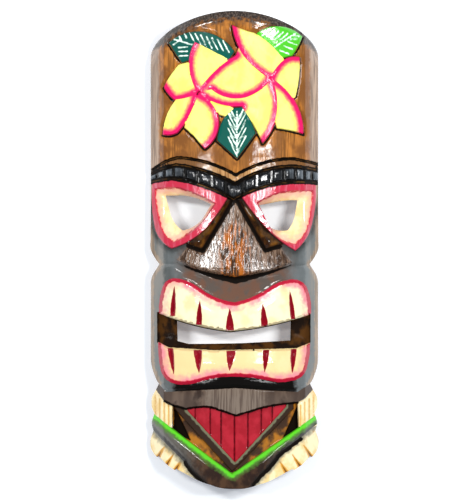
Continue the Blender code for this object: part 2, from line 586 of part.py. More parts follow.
def pattern_edges():
    """Every line that the solid's triangles follow."""
    edges = []
    half = WALL / 2
    for name, ring in PETAL_RINGS.items():
        for away in (-half, half):
            edges += contour(ring, away, lambda places: petal_outside(places, name))
    off_petals = clear_of(PETAL_RINGS.values())
    for ring in LEAF_RINGS.values():
        for away in (-half, half):
            line = contour(ring, away, lambda places: depth_outside(places, ring))
            edges += [edge for edge in line if off_petals(np.array(edge)).min() > half]
    for ring in list(PETAL_RINGS.values()) + list(LEAF_RINGS.values()):
        edges += contour(ring, MOAT, flowers_outside)
    for line in BROW_LINES:
        for away in (-LINE_WIDTH / 2, 0, LINE_WIDTH / 2):
            edges += open_edges(shifted(line, away))
    for start, end in zip((BOSS[2],) + BEAD_ENDS, BEAD_ENDS):
        for inset in (0, BEAD_ROUND * 0.75):
            for corners in bead_corners(start, end, inset):
                edges += zip(corners, np.roll(corners, -1, axis=0))
    turns = [2 * math.pi * step / 12 for step in range(12)]
    circle = np.array([(math.cos(turn), math.sin(turn)) for turn in turns])
    boss = BOSS[:2] + BOSS[2] * circle
    edges += ring_edges(boss, 0)
    for rim, shelf, _ in EYES:
        edges += ring_edges(rim, -half, half)
        edges += ring_edges(shelf, -half, half)
    off_nose_and_eyes = clear_of([NOSE_RING, EYES[0][0], EYES[1][0]])
    for ring in TRENCH_RINGS:
        sides = ring_edges(ring, -WALL, WALL)
        edges += [edge for edge in sides if off_nose_and_eyes(np.array(edge)).min() > half]
    edges += ring_edges(NOSE_RING, -NOSE_WALL / 2, NOSE_WALL / 2)
    for line in FOLDS:
        for away in (-1.5 * LINE_WIDTH, 0, 1.5 * LINE_WIDTH):
            edges += open_edges(shifted(line, away))
    for ring in TEETH:
        edges += ring_edges(ring, -GUM_LINE / 2, 0, GUM_LINE / 2)
    off_teeth = clear_of(TEETH)
    sides = ring_edges(MOUTH_RING, -half, half)
    edges += [edge for edge in sides if off_teeth(np.array(edge)).min() > 0]
    for ring, (left, right, y, tip_x, tip_y) in zip(GAP_RINGS, GAPS):
        edges += ring_edges(ring, 0)
        edges += open_edges(sample([((left + right) / 2, y), (tip_x, tip_y)], False))
    for side in (-SHOULDER_X, SHOULDER_X):
        edges += open_edges(sample([(side, FOOT_END[1]), (side, HALF_RIM[0][1])], False))
    return edges + edges_below()


def edges_below():
    """The lines below the jaw, where each part hides those carved before it."""
    half = WALL / 2
    order = [("feet", RINGS_BELOW["feet"]), ("recess", RINGS_BELOW["recess"])]
    order += [("pit", ring) for ring in PIT_RINGS]
    order += [("collar", RINGS_BELOW["collar"]), ("shield", RINGS_BELOW["shield"])]
    order += [("hand", ring) for ring in HAND_RINGS]
    order += [("arms", RINGS_BELOW["arms"]), ("chin", RINGS_BELOW["chin"])]
    edges = []
    for index, (name, ring) in enumerate(order):
        lines = ring_edges(ring, -half, half)
        if name == "arms":
            lines += ring_edges(ring, -ARM_ROUND)
        if name == "shield":
            for pleat in PLEATS:
                for across in (-PLEAT_GROOVE / 2, 0, PLEAT_GROOVE / 2):
                    x = pleat + across
                    line = sample([(x, SHIELD[0][1]), (x, SHIELD[2][1])], False)
                    inside = depth_outside(line, ring) < -WALL
                    kept = inside[1:] & inside[:-1]
                    lines += [edge for edge, keep in zip(open_edges(line), kept) if keep]
        if name == "hand":
            side = math.copysign(1, ring[0][0])
            for finger in FINGERS[:-1]:
                for across in (-FINGER_GROOVE / 2, 0, FINGER_GROOVE / 2):
                    x = side * (finger + across)
                    top = HAND_TOP - (RIM_X - finger) * HAND_LEAN
                    lines += open_edges(sample([(x, top), (x, HAND_FOOT)], False))
        if name == "feet":
            for x, y in TOES:
                for away in (-FINGER_GROOVE / 2, 0, FINGER_GROOVE / 2):
                    lines += open_edges(shifted(toe_line(x, y), away))
        hiders = [other for _, other in order[index + 1:]]
        for edge in lines:
            ends = np.array(edge)
            if all(depth_outside(ends, other).min() > half * 0.9 for other in hiders):
                edges.append(edge)
    return edges


def triangulate(edges, points):
    """Triangles over edges and loose points: their corners' places and numbers."""
    numbers, places, links = {}, [], []

    def number(place):
        key = (round(place[0] / SNAP), round(place[1] / SNAP))
        if key not in numbers:
            numbers[key] = len(places)
            places.append(Vector((key[0] * SNAP, key[1] * SNAP)))
        return numbers[key]

    for start, end in edges:
        first, second = number(start), number(end)
        if first != second:
            links.append((first, second))
    for place in points:
        number(place)
    result = delaunay_2d_cdt(places, links, [], 0, SNAP / 20)
    return np.array([tuple(place) for place in result[0]]), np.array(result[2])


def hexagonal_fill(step):
    rows = np.arange(-SHEET_HEIGHT / 2, SHEET_HEIGHT / 2, step * math.sqrt(0.75))
    columns = np.arange(-RIM_X - step, RIM_X + step, step)
    return np.array([(x + step / 2 * (row % 2), y) for row, y in enumerate(rows) for x in columns])


def keep_clear(points, edges, clearance):
    """The points at least a clearance away from every edge."""
    starts = np.array([edge[0] for edge in edges])
    alongs = np.array([edge[1] for edge in edges]) - starts
    squares = np.maximum((alongs ** 2).sum(axis=1), 1e-9)
    kept = []
    for point in points:
        shares = np.clip(((point - starts) * alongs).sum(axis=1) / squares, 0, 1)
        gaps = point - starts - shares[:, None] * alongs
        if (gaps ** 2).sum(axis=1).min() > clearance ** 2:
            kept.append(point)
    return np.array(kept)


def on_wood(places, margin=0.0):
    """Whether each place is inside the rim and outside the three openings."""
    wood = depth_outside(places, RIM) < -margin
    for ring in OPENINGS:
        wood &= depth_outside(places, ring) > margin
    return wood


def boundary(triangles):
    """The edges that only one triangle uses, each in that triangle's turn."""
    used = {}
    for triangle in triangles:
        for first, second in zip(triangle, np.roll(triangle, -1)):
            used[(first, second)] = True
    return [(int(a), int(b)) for a, b in used if (b, a) not in used]


def build_mask():
    edges = [edge for edge in pattern_edges() if on_wood(np.array(edge), 0.8).any()]
    outlines = [edge for ring in [RIM] + OPENINGS for edge in zip(ring, np.roll(ring, -1, axis=0))]
    fill = hexagonal_fill(FILL_STEP)
    fill = keep_clear(fill[on_wood(fill, 2.0)], edges + outlines, FILL_CLEARANCE)
    places, triangles = triangulate(outlines + edges, fill)
    triangles = triangles[on_wood(places[triangles].mean(axis=1))]
    rim = boundary(triangles)

    hollow = [edge for inset in (0, HOLLOW_SLOPE / UNIT) for edge in ring_edges(hollow_outline(inset), 0)]
    rim_places = [(places[a], places[b]) for a, b in rim]
    back_fill = hexagonal_fill(BACK_STEP)
    back_fill = keep_clear(back_fill[on_wood(back_fill, 2.0)], hollow + rim_places, BACK_STEP / 3)
    numbers = {}
    back_places = []
    links = []
    for a, b in rim:
        for corner in (a, b):
            if corner not in numbers:
                numbers[corner] = len(back_places)
                back_places.append(Vector(places[corner]))
        links.append((numbers[a], numbers[b]))
    for start, end in hollow:
        links.append((len(back_places), len(back_places) + 1))
        back_places += [Vector(start), Vector(end)]
    back_places += [Vector(place) for place in back_fill]
    result = delaunay_2d_cdt(back_places, links, [], 0, SNAP / 20)
    back = np.array([tuple(place) for place in result[0]])
    back_triangles = np.array(result[2])
    back_triangles = back_triangles[on_wood(back[back_triangles].mean(axis=1))]
    came_from = {source: index for index, sources in enumerate(result[3]) for source in sources}

    mesh = bmesh.new()
    front_z = face_height(places)
    back_z = back_height(back)
    front = [mesh.verts.new((x * UNIT, y * UNIT, z)) for (x, y), z in zip(places, front_z)]
    under = [mesh.verts.new((x * UNIT, y * UNIT, z)) for (x, y), z in zip(back, back_z)]
    for a, b, c in triangles:
        mesh.faces.new((front[a], front[b], front[c]))
    for a, b, c in back_triangles:
        mesh.faces.new((under[c], under[b], under[a]))
    for a, b in rim:
        low_a, low_b = under[came_from[numbers[a]]], under[came_from[numbers[b]]]
        mesh.faces.new((front[b], front[a], low_a))
        mesh.faces.new((front[b], low_a, low_b))
    bmesh.ops.delete(mesh, geom=[vertex for vertex in mesh.verts if not vertex.link_faces], context="VERTS")
    bmesh.ops.recalc_face_normals(mesh, faces=mesh.faces)
    data = bpy.data.meshes.new("mask")
    mesh.to_mesh(data)
    mesh.free()
    data.shade_smooth()
    data.set_sharp_from_angle(angle=math.radians(35))
    return bpy.data.objects.new("mask", data)


def painted_wood():
    material = bpy.data.materials.new("painted_wood")
    material.use_nodes = True
    shader = material.node_tree.nodes["Principled BSDF"]
    shader.inputs["Base Color"].default_value = (0.22, 0.10, 0.035, 1)
    shader.inputs["Roughness"].default_value = 0.35
    shader.inputs["Metallic"].default_value = 0.0
    return material


def main():
    for thing in list(bpy.data.objects):
        bpy.data.objects.remove(thing, do_unlink=True)
    collection = bpy.data.collections.new("tiki_mask")
    bpy.context.scene.collection.children.link(collection)
    mask = build_mask()
    mask.data.materials.append(painted_wood())
    collection.objects.link(mask)
    print("mask:", len(mask.data.polygons), "faces")


main()
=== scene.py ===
# %% [markdown]
# # A painted tiki mask
# The real mask is one half log of light wood. Its round face is carved in relief, its back is hollowed,
# and it is stained, painted by hand and varnished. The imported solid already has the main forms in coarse
# facets. This notebook cuts the same carving again, in a mesh fine enough for knife edges and paint lines.

# %% The frame and the tools
import math

import bmesh
import bpy
import numpy as np
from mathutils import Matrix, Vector
from mathutils.geometry import delaunay_2d_cdt
from mathutils.kdtree import KDTree


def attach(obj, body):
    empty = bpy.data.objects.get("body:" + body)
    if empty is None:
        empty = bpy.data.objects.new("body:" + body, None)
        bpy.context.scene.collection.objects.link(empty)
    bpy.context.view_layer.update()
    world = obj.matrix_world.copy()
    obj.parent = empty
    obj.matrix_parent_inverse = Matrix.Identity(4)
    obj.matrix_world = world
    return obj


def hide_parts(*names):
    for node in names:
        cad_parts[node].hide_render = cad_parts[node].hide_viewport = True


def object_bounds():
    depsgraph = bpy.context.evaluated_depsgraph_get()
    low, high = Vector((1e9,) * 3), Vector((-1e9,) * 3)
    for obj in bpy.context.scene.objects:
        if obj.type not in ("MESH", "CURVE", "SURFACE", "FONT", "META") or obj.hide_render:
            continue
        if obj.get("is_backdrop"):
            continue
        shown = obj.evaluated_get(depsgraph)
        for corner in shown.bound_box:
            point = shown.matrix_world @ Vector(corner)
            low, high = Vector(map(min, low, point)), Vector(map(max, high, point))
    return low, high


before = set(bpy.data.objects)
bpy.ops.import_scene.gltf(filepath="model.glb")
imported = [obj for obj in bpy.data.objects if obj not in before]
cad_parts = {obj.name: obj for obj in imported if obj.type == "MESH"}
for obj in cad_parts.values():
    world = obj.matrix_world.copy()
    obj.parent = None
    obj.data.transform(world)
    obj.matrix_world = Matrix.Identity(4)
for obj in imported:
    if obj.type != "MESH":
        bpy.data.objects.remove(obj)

CAD_LOW, CAD_HIGH = (tuple(corner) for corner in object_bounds())
MASK_HEIGHT = CAD_HIGH[1] - CAD_LOW[1]
print("packed solid:", [round(high - low, 4) for low, high in zip(CAD_LOW, CAD_HIGH)])

# %% [markdown]
# ## The pattern sheet
# A carver pins a drawing to the log and cuts along it. Ours is a list of outlines. An outline runs
# anticlockwise, and each point is (x, y, sag): sag is how far the stretch that leaves it bulges to the
# right of the way it runs, and a straight stretch has none. A bulge is a circular arc, so a few points
# give a smooth line.

# %% Outlines as lines of short steps
FINE_STEP = 1.7  # units of the sheet between points along a line


def sample(points, closed=True):
    """The points of an outline, with its curved stretches as arcs."""
    stops = [tuple(point) + (0,) * (3 - len(point)) for point in points]
    line = []
    for index in range(len(stops) if closed else len(stops) - 1):
        start, end = stops[index], stops[(index + 1) % len(stops)]
        across = np.subtract(end[:2], start[:2])
        length = math.hypot(*across)
        sag = start[2]
        steps = max(1, math.ceil(length / FINE_STEP))
        along = across / length
        right = np.array((along[1], -along[0]))
        middle = np.add(start[:2], end[:2]) / 2
        for step in range(steps):
            share = 2 * step / steps - 1
            place = middle + along * share * length / 2
            if sag:
                radius = (length ** 2 / 4 + sag ** 2) / (2 * abs(sag))
                sweep = 4 * math.atan(2 * abs(sag) / length)
                angle = share * sweep / 2
                bulge = radius * (math.cos(angle) - math.cos(sweep / 2)) * math.copysign(1, sag)
                place = middle + along * radius * math.sin(angle) + right * bulge
            line.append(place)
    if not closed:
        line.append(np.array(stops[-1][:2], dtype=float))
    return np.array(line)


# %% [markdown]
# ## Measuring from a line
# A cut starts at a line and slopes away from it, and so does a stroke of paint. Both need one number: how
# far a place is from an outline, with a minus sign inside it. Only places near the outline are measured,
# because numpy then handles the whole mask in seconds.

# %% Distances and slopes
BLOCK = 60_000  # distances measured at once
REACH = 24.0  # units beyond which a place counts as far from an outline
TINY = 1e-6  # keeps a division from being by zero


def distance(places, line, closed=True):
    """Distance from each place to a line."""
    starts = line if closed else line[:-1]
    alongs = (np.roll(line, -1, axis=0) if closed else line[1:]) - starts
    squares = np.maximum((alongs ** 2).sum(axis=1), TINY ** 2)
    nearest = np.full(len(places), np.inf)
    stretches = max(1, BLOCK // max(1, len(places)))
    for first in range(0, len(starts), stretches):
        some = slice(first, first + stretches)
        gap = places[:, None, :] - starts[some]
        share = np.clip((gap * alongs[some]).sum(axis=2) / squares[some], 0, 1)
        gap = gap - share[:, :, None] * alongs[some]
        nearest = np.minimum(nearest, (gap ** 2).sum(axis=2).min(axis=1))
    return np.sqrt(nearest)


def depth_outside(places, ring):
    """Distance outside a closed outline, negative inside it, and no more than REACH."""
    near = ((places > ring.min(axis=0) - REACH) & (places < ring.max(axis=0) + REACH)).all(axis=1)
    outside = np.full(len(places), REACH)
    some = places[near]
    if len(some):
        x, y = some[:, 0:1], some[:, 1:2]
        ends = np.roll(ring, -1, axis=0)
        rise = np.where(ends[:, 1] == ring[:, 1], 1.0, ends[:, 1] - ring[:, 1])
        meets = ring[:, 0] + (y - ring[:, 1]) * (ends[:, 0] - ring[:, 0]) / rise
        crossed = ((ring[:, 1] > y) != (ends[:, 1] > y)) & (x < meets)
        sign = np.where(crossed.sum(axis=1) % 2 == 1, -1, 1)
        outside[near] = np.minimum(sign * distance(some, ring), REACH)
    return outside


def nearest_ring(places, rings):
    """Distance outside the nearest of several outlines."""
    return np.min([depth_outside(places, ring) for ring in rings], axis=0, initial=REACH)


def ramp(value, low, high):
    return np.clip((value - low) / (high - low), 0, 1)


def mix(low, high, share):
    return low + (high - low) * share


def vee(away, width):
    """The section of a V-shaped groove: 1 at its line, 0 at its edges."""
    return np.clip(1 - away / (width / 2), 0, 1)


def within(outside, wall=None):
    """1 inside an outline and 0 outside it, across the rounded slope of a cut."""
    share = 1 - ramp(outside, -(wall or WALL) / 2, (wall or WALL) / 2)
    return share * share * (3 - 2 * share)


def sink(places, cut, ring, depth, wall=None):
    """A cut with the inside of one outline taken to another depth."""
    return mix(cut, depth, within(depth_outside(places, ring), wall))


# %% [markdown]
# ## The half log
# Before carving, the blank is half of a log. Its face is an arc in section, and the two sides are hewn
# flat. The crown's edge is chamfered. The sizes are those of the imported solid.

# %% The blank and its outline
FACE_HEIGHT = 0.056  # crest of the round face above the flat back
SHOULDER_HEIGHT = 0.034  # where the round face meets the hewn side facets
EDGE_HEIGHT = 0.015  # the facets' outer edge
LEAST_EDGE = 0.006  # wood left at the rim, however deep the carving
SHOULDER_X = 74
RIM_X = 88.5
WALL = 1.4  # a knife cut's slope, seen from the front
CROWN_BEVEL = 8.0
CROWN_FROM_Y = 205
CROWN_FADE = 12
MIDDLE_BELOW_Y = 76  # brow, eyes and nose are cut below this line
MOUTH_BELOW_Y = -14
JAW_BELOW_Y = -138
FOOT_SAG = 1.4
CHEEK_FADE_X = (80, 89)  # where the cheek's cut runs out to the side
CHEEK_FADE_Y = (-18, -10)  # and down towards the fold
LIP_FADE_X = (64, 78)
LIP_FOOT_Y = (-60, -52)
LIP_TOP_Y = (-26, -18)
NOSE_HALF_WIDTHS = (12, 62)  # at its root and at its tip
NOSE_REACH_Y = (54, -20)
CROWN_DROP = 0.0065
SNAP = 0.05  # units of the grid that keeps two points from nearly meeting
WELD = SNAP / 20  # points closer than this are one point to the triangulation
HALF_RIM = [
    (0, 250, 3.4), (-57, 236.5, 0.8), (-74.5, 225, 0.8), (-85, 213.5, 0.5), (-88.4, 204.5, 0),
    (-88.2, 45, 0), (-88.5, 8, 1.4), (-85.3, -6, 0.4), (-79, -15, 0), (-85.3, -25, 1.0),
    (-88.2, -37.5, 0), (-88.2, -115, 0.8), (-84.5, -131, 0.5), (-79.5, -141, 0), (-83, -148, 0),
    (-87, -155, 0.5), (-87.2, -166, 0), (-84.3, -172.5, 0), (-87.2, -181, 0.5), (-85.4, -190.5, 0),
    (-88.4, -199, 0.5), (-88.2, -209, 0.8), (-81.5, -218.5, 0), (-79.5, -217.5, 0), (-71, -226, 0),
    (-62.5, -231.5, 0), (-61, -230, 0), (-42, -239.8, 0.6), (-25, -246, 1.4),
]
FOOT_END = (0, -250)
SHEET_HEIGHT = HALF_RIM[0][1] - FOOT_END[1]
UNIT = MASK_HEIGHT / SHEET_HEIGHT


def snapped(line):
    """A line with its points on a fine grid, so that no two nearly meet."""
    return np.round(line / SNAP) * SNAP


def rim_outline():
    left = HALF_RIM
    stretches = [point[2] for point in left]
    right = [(-x, y, sag) for (x, y, _), sag in zip(left[:0:-1], stretches[-2::-1])]
    foot = [left[-1][:2] + (FOOT_SAG,), FOOT_END + (FOOT_SAG,)]
    return sample(left[:-1] + foot + right)


def blank_height(x):
    """The half log before carving: a round face between two hewn facets."""
    fall = FACE_HEIGHT - SHOULDER_HEIGHT
    shoulder = SHOULDER_X * UNIT
    radius = (shoulder ** 2 + fall ** 2) / (2 * fall)
    reach = np.minimum(np.abs(x) * UNIT, shoulder)
    face = FACE_HEIGHT - radius + np.sqrt(radius ** 2 - reach ** 2)
    facet = (SHOULDER_HEIGHT - EDGE_HEIGHT) * ramp(np.abs(x), SHOULDER_X, RIM_X)
    return face - facet


RIM = snapped(rim_outline())
print("rim points:", len(RIM), "one unit is", round(UNIT * 1000, 3), "mm")

# %% [markdown]
# ## The flowers
# Two plumeria flowers and three leaves are carved above the forehead. Each petal is high along one crest
# and falls away from it, then tucks under its neighbour's crest, like the slats of a pinwheel. So each
# petal has an outline, its crests, and the name of the petal that covers it.

# %% Petals and leaves
PETALS = {
    "scrap": ([(-36, 160), (-15, 141), (-10, 139.5), (-1, 147.5), (-10, 157)], [], "south"),
    "south": ([(-31, 105.7, 18), (-38, 163), (-50, 146), (-52, 128), (-41.9, 118.8)],
              [[(-31, 105.7, 18), (-38, 163)]], "south_west"),
    "south_west": ([(-75, 121, 1.5), (-60, 122.5, 3.5), (-39, 164), (-52, 168), (-62.5, 155.5, 0.5),
                    (-70, 143, 1)],
                   [[(-75, 121, 1.5), (-60, 122.5, 3.5), (-39, 164)]], "west"),
    "west": ([(-74, 171, 1), (-63, 157, 1.8), (-38, 165), (-42, 198), (-58.5, 193.5, 0.8)],
             [[(-74, 171, 1), (-63, 157, 1.8), (-38, 165)]], "north"),
    "north": ([(-38, 165), (-5, 188), (-8, 199.5), (-41.3, 217, 8)],
              [[(-41.3, 217, 8), (-38, 165)]], "shared"),
    "low_east": ([(38, 179), (37, 150), (44.6, 127.3, -0.8), (72, 121.5, 10)],
                 [[(72, 121.5, 10), (38, 179)]], "low_west"),
    "low_west": ([(38, 179), (0, 181), (-38, 164, 5), (7.7, 149.6, -1.4), (29.3, 111.4, 11)],
                 [[(29.3, 111.4, 11), (38, 179)], [(-38, 164, 5), (7.7, 149.6)]], "shared"),
    "shared": ([(-38, 165), (-24, 167.5, 15), (37.6, 179.5), (28, 201), (5, 213),
                (1.3, 203, 3.7)],
               [[(1.3, 203, 3.7), (-38, 165)], [(-24, 167.5, 15), (37.6, 179.5)]], "top"),
    "top": ([(37.6, 179.5), (56, 196), (48, 203, 2), (20, 226.5, -0.8), (-2.5, 234.8, 9)],
            [[(-2.5, 234.8, 9), (37.6, 179.5)]], "east"),
    "east": ([(38, 179), (58, 152), (63.7, 161, 1.5), (68.1, 202, 3.5), (46, 193.5, 0.8)],
             [[(68.1, 202, 3.5), (46, 193.5, 0.8), (38, 179)]], "low_east"),
}
LEAVES = {
    "left_leaf": [(0, 207, 16), (-69, 217), (-60, 203), (-55, 196), (-42, 200), (-8, 195)],
    "right_leaf": [(71, 224, 8.5), (23.5, 226.5), (30, 214), (48, 200), (60, 203, 1)],
    "low_leaf": [(-2.5, 148, 1.5), (-15.5, 128, 0.5), (-18, 114), (2.6, 95.2), (22, 121.5, 1),
                 (9, 149)],
}
PETAL_RINGS = {name: sample(entry[0]) for name, entry in PETALS.items()}
PETAL_CRESTS = {name: [sample(crest, False) for crest in entry[1]] for name, entry in PETALS.items()}
LEAF_RINGS = {name: sample(entry) for name, entry in LEAVES.items()}
FLOWER_RINGS = [*PETAL_RINGS.values(), *LEAF_RINGS.values()]
MOAT = 3.4  # furrow round the flowers
PETAL_CREST_RISE = 0.0036
PETAL_FOOT_RISE = 0.0014
PETAL_FALL = 20.0  # units from a petal's crest to its foot
LEAF_RISE = 0.0018
MOAT_DEPTH = 0.0012


def petal_outside(places, name):
    """Distance outside the part of a petal that its neighbour leaves bare."""
    own, over = PETAL_RINGS[name], PETAL_RINGS[PETALS[name][2]]
    return np.maximum(depth_outside(places, own), -depth_outside(places, over))


def flowers_outside(places):
    return nearest_ring(places, FLOWER_RINGS)


def carve_flowers(places, cut):
    for ring in LEAF_RINGS.values():
        cut = sink(places, cut, ring, -LEAF_RISE)
    for name in PETALS:
        fall = np.zeros(len(places)) + PETAL_FALL
        for crest in PETAL_CRESTS[name]:
            fall = np.minimum(fall, distance(places, crest, False))
        top = mix(-PETAL_CREST_RISE, -PETAL_FOOT_RISE, ramp(fall, 0, PETAL_FALL))
        cut = mix(cut, top, within(petal_outside(places, name)))
    furrow = ramp(flowers_outside(places), MOAT, WALL / 2) * (flowers_outside(places) > 0)
    return cut + MOAT_DEPTH * furrow


print("petals:", len(PETAL_RINGS), "leaves:", len(LEAF_RINGS))

# %% [markdown]
# ## The brow
# Two knife lines sweep over each eye. Under them runs a band of small blocks, left standing when the
# wood between them is chopped out, and a round boss marks the middle.

# %% Lines, blocks and boss
BROW_HIGH = [(-94, 77, -3), (-60, 96.5, -4), (1.3, 78, -4), (60, 95.5, -0.5), (94, 88.5)]
BROW_LOW = [(-94, 77, -1.5), (-61, 89, -3), (0.7, 69, -4.5), (62, 87.5, -0.5), (94, 82.5)]
LID_LINE = [(-94, 69.5, -1.2), (-64, 74.6, -3), (-1, 52.5, -4), (62, 71, -0.5), (94, 70)]
BEAD_ENDS = (9, 23.5, 38.5, 52, 64, 73.5, 81.5, 92)  # from the middle outwards
BOSS = (0.7, 60.5, 6.6)  # centre and radius
BROW_LINES = [sample(line, False) for line in (BROW_HIGH, BROW_LOW, LID_LINE)]
LINE_WIDTH = 3.6
LINE_DEPTH = 0.0024
BEAD_GAP = 2.4
BEAD_ROUND = 2.4
BEAD_FLOOR = 0.0042
BEAD_TOP = 0.0006
BEAD_SHOULDER = 0.75 * BEAD_ROUND
BOSS_RISE = 0.0016
BOSS_STEPS = 12


def brow_height(line, x):
    return np.interp(x, line[:, 0], line[:, 1])


def bead_corners(start, end, inset):
    """The outline of one bead of the brow, between two places across it."""
    xs = np.array([start + BEAD_GAP / 2 + inset, (start + end) / 2, end - BEAD_GAP / 2 - inset])
    sides = []
    for side in (-1, 1):
        low = [(side * x, brow_height(BROW_LINES[2], side * x) + BEAD_GAP + inset) for x in xs]
        high = [(side * x, brow_height(BROW_LINES[1], side * x) - BEAD_GAP - inset) for x in xs[::-1]]
        sides.append(np.array(low + high))
    return sides


def inside_bead(places):
    """How far inside a block of the brow each place is, and how far inside their band."""
    x, y = places[:, 0], places[:, 1]
    band = np.minimum(brow_height(BROW_LINES[1], x) - y, y - brow_height(BROW_LINES[2], x))
    bead = band - BEAD_GAP
    for end in (0,) + BEAD_ENDS:
        bead = np.minimum(bead, np.abs(np.abs(x) - end) - BEAD_GAP / 2)
    return bead, band


def carve_brow(places, cut):
    x, y = places[:, 0], places[:, 1]
    bead, band = inside_bead(places)
    beads = mix(BEAD_FLOOR, BEAD_TOP, np.sin(ramp(bead, 0, BEAD_ROUND) * math.pi / 2))
    cut = mix(cut, beads, ramp(band, 0, WALL))
    for line in BROW_LINES:
        cut = cut + LINE_DEPTH * vee(distance(places, line, False), LINE_WIDTH)
    boss = BOSS[2] - np.hypot(x - BOSS[0], y - BOSS[1])
    return mix(cut, -BOSS_RISE * np.sqrt(ramp(boss, 0, BOSS[2])), ramp(boss, -WALL, 0))


print("blocks in the brow:", 2 * len(BEAD_ENDS))

# %% [markdown]
# ## Eyes and nose
# Each eye is a raised rim round a bevelled sill that slopes to the opening. The nose is a long wedge that
# stands proud of the log, with a deep trench on each side and a fold under its wings.

# %% Their outlines and depths
LEFT_EYE = (
    [(-7, 54.5, 0.5), (-22, 63, 1.8), (-57, 73, 1.2), (-86.5, 69.5, 1.5), (-84, 25, 3.4), (-66, 1.3, 3.0),
     (-28, 23.9, 0.8)],
    [(-20.3, 48.1, 1.5), (-57.2, 64.6, 0.8), (-83.5, 64, 1.2), (-78, 26, 2.5), (-64, 8, 2.5), (-30, 33)],
    [(-24.5, 47.5, 1.5), (-54.7, 57), (-72.5, 57), (-67, 36, 1.5), (-54.7, 20.3, 3), (-31.8, 35.4)],
)
RIGHT_EYE = (
    [(7.7, 54.5, 0.8), (34.4, 21.4, 1.5), (64, -1, 3.2), (82, 30, 1.5), (85.5, 68.4, 0.5),
     (53.5, 70.4, 1.0), (20, 61.2, 0.5)],
    [(23.6, 49.4, -0.5), (40.8, 16.3, 2.2), (64, 5.8, 3.0), (79, 31.5, 0.8), (82.5, 62, 0.5),
     (50, 60.4, 1)],
    [(26, 46.5), (35.7, 25.2, 2.5), (56, 20.5, 1.5), (64, 39.2), (66.2, 51.9, 1.0), (40.8, 49.4)],
)
TRENCHES = (
    [(-1, 53), (-8, 56), (-30, 26), (-52, 9), (-48.5, 3.5), (-33, -1.5)],
    [(2, 53), (32, -1.5), (47, 3.5), (53, 8), (33, 22), (9, 56)],
)
NOSE = [(0.7, 54), (-33, -1.5), (-48, 4), (-60, -10.5, 3), (1.3, -29, 2), (60, -13.5), (47, 3.6), (32, -1)]
FOLD_UNDER_NOSE = [(-92, -15), (-61, -14.5, 3), (1.3, -32.5, 2), (61, -17), (92, -15)]
FOLD_UNDER_JAW = [(-92, -139), (-72, -150.5), (0, -146), (66, -151), (92, -139)]
EYES = [[sample(ring) for ring in eye] for eye in (LEFT_EYE, RIGHT_EYE)]
TRENCH_RINGS = [sample(ring) for ring in TRENCHES]
NOSE_RING = sample(NOSE)
FOLDS = [sample(line, False) for line in (FOLD_UNDER_NOSE, FOLD_UNDER_JAW)]
NOSE_WALL = 4.0
CHEEK_DEPTH = 0.0042
TRENCH_SIDE_DEPTH = 0.0066
TRENCH_DEPTH = 0.0115  # along its middle
TRENCH_HALF = 8.0  # units from a trench's side to its middle
EYE_RIM_DEPTH = 0.0008
EYE_SHELF_DEPTH = 0.0030  # where the sill starts, just inside the rim
EYE_SILL_DEPTH = 0.0125  # where it ends at the opening
NOSE_ROOT_DEPTH = 0.0050
NOSE_TIP_RISE = 0.0050
NOSE_SIDE_DROP = 0.0042
FOLD_DEPTH = 0.0050  # under the nose, and under the jaw
FOLD_WIDTH = 3 * LINE_WIDTH


def carve_middle(places, cut):
    x, y = places[:, 0], places[:, 1]
    lid = brow_height(BROW_LINES[2], x)
    cheek = ramp(lid - y, 0, LINE_WIDTH) * ramp(y, *CHEEK_FADE_Y) * (1 - ramp(np.abs(x), *CHEEK_FADE_X))
    cut = mix(cut, CHEEK_DEPTH, cheek)
    for ring in TRENCH_RINGS:
        outside = depth_outside(places, ring)
        floor = mix(TRENCH_SIDE_DEPTH, TRENCH_DEPTH, ramp(-outside, 0, TRENCH_HALF))
        cut = mix(cut, floor, within(outside, 2 * WALL))
    forward = ramp(y, *NOSE_REACH_Y)
    nose = mix(NOSE_ROOT_DEPTH, -NOSE_TIP_RISE, forward)
    nose = nose + NOSE_SIDE_DROP * (x / mix(*NOSE_HALF_WIDTHS, forward)) ** 2
    cut = sink(places, cut, NOSE_RING, nose, NOSE_WALL)
    for rim, shelf, opening in EYES:
        into = -depth_outside(places, shelf)
        to_opening = np.maximum(depth_outside(places, opening), 0)
        share = ramp(into, 0, np.maximum(into, 0) + to_opening + TINY)
        sill = mix(EYE_SHELF_DEPTH, EYE_SILL_DEPTH, share)
        cut = sink(places, cut, rim, EYE_RIM_DEPTH)
        cut = mix(cut, sill, within(-into))
    for line in FOLDS:
        cut = mix(cut, FOLD_DEPTH, vee(distance(places, line, False), FOLD_WIDTH))
    return cut


print("eye rims:", [len(eye[0]) for eye in EYES], "points")

# %% [markdown]
# ## The mouth
# Two bowed rows of teeth stand over an open mouth, whose walls slope in to the opening. A carver parts the
# teeth with V cuts that narrow towards the gums.

# %% Teeth, gums and gaps
UPPER_TEETH = [(-79, -66.5, 2.6), (-4, -85, 2.3), (80, -67.5, 1.5), (76.5, -41.5, 3), (61, -31.5, 1.5),
               (38, -39, -2.3), (0, -55.3, -2.5), (-35.6, -41.3, 2), (-61, -30.5, 3.3), (-75.3, -40, 1.2)]
LOWER_TEETH = [(-80, -97.5, 0.8), (-77, -127, 3.2), (-60, -140.6, 1.5), (-34, -137, -1.2),
               (-3.8, -132.3, -1.2), (36, -136.5, 1.5), (60, -137, 3.5), (76, -123, 1), (79, -98.5),
               (65, -103.7), (-20, -105.5), (-69, -103)]
MOUTH = [(-81, -66), (-81, -97.5), (-68, -108), (66, -108), (79.5, -98.5), (79.5, -67)]
MOUTH_OPENING = [(-60.4, -74.8), (-59.8, -96), (-48, -99), (9, -98), (58.6, -95.4), (59.2, -75.2, -1.3),
                 (-4, -86.6, -1.6)]
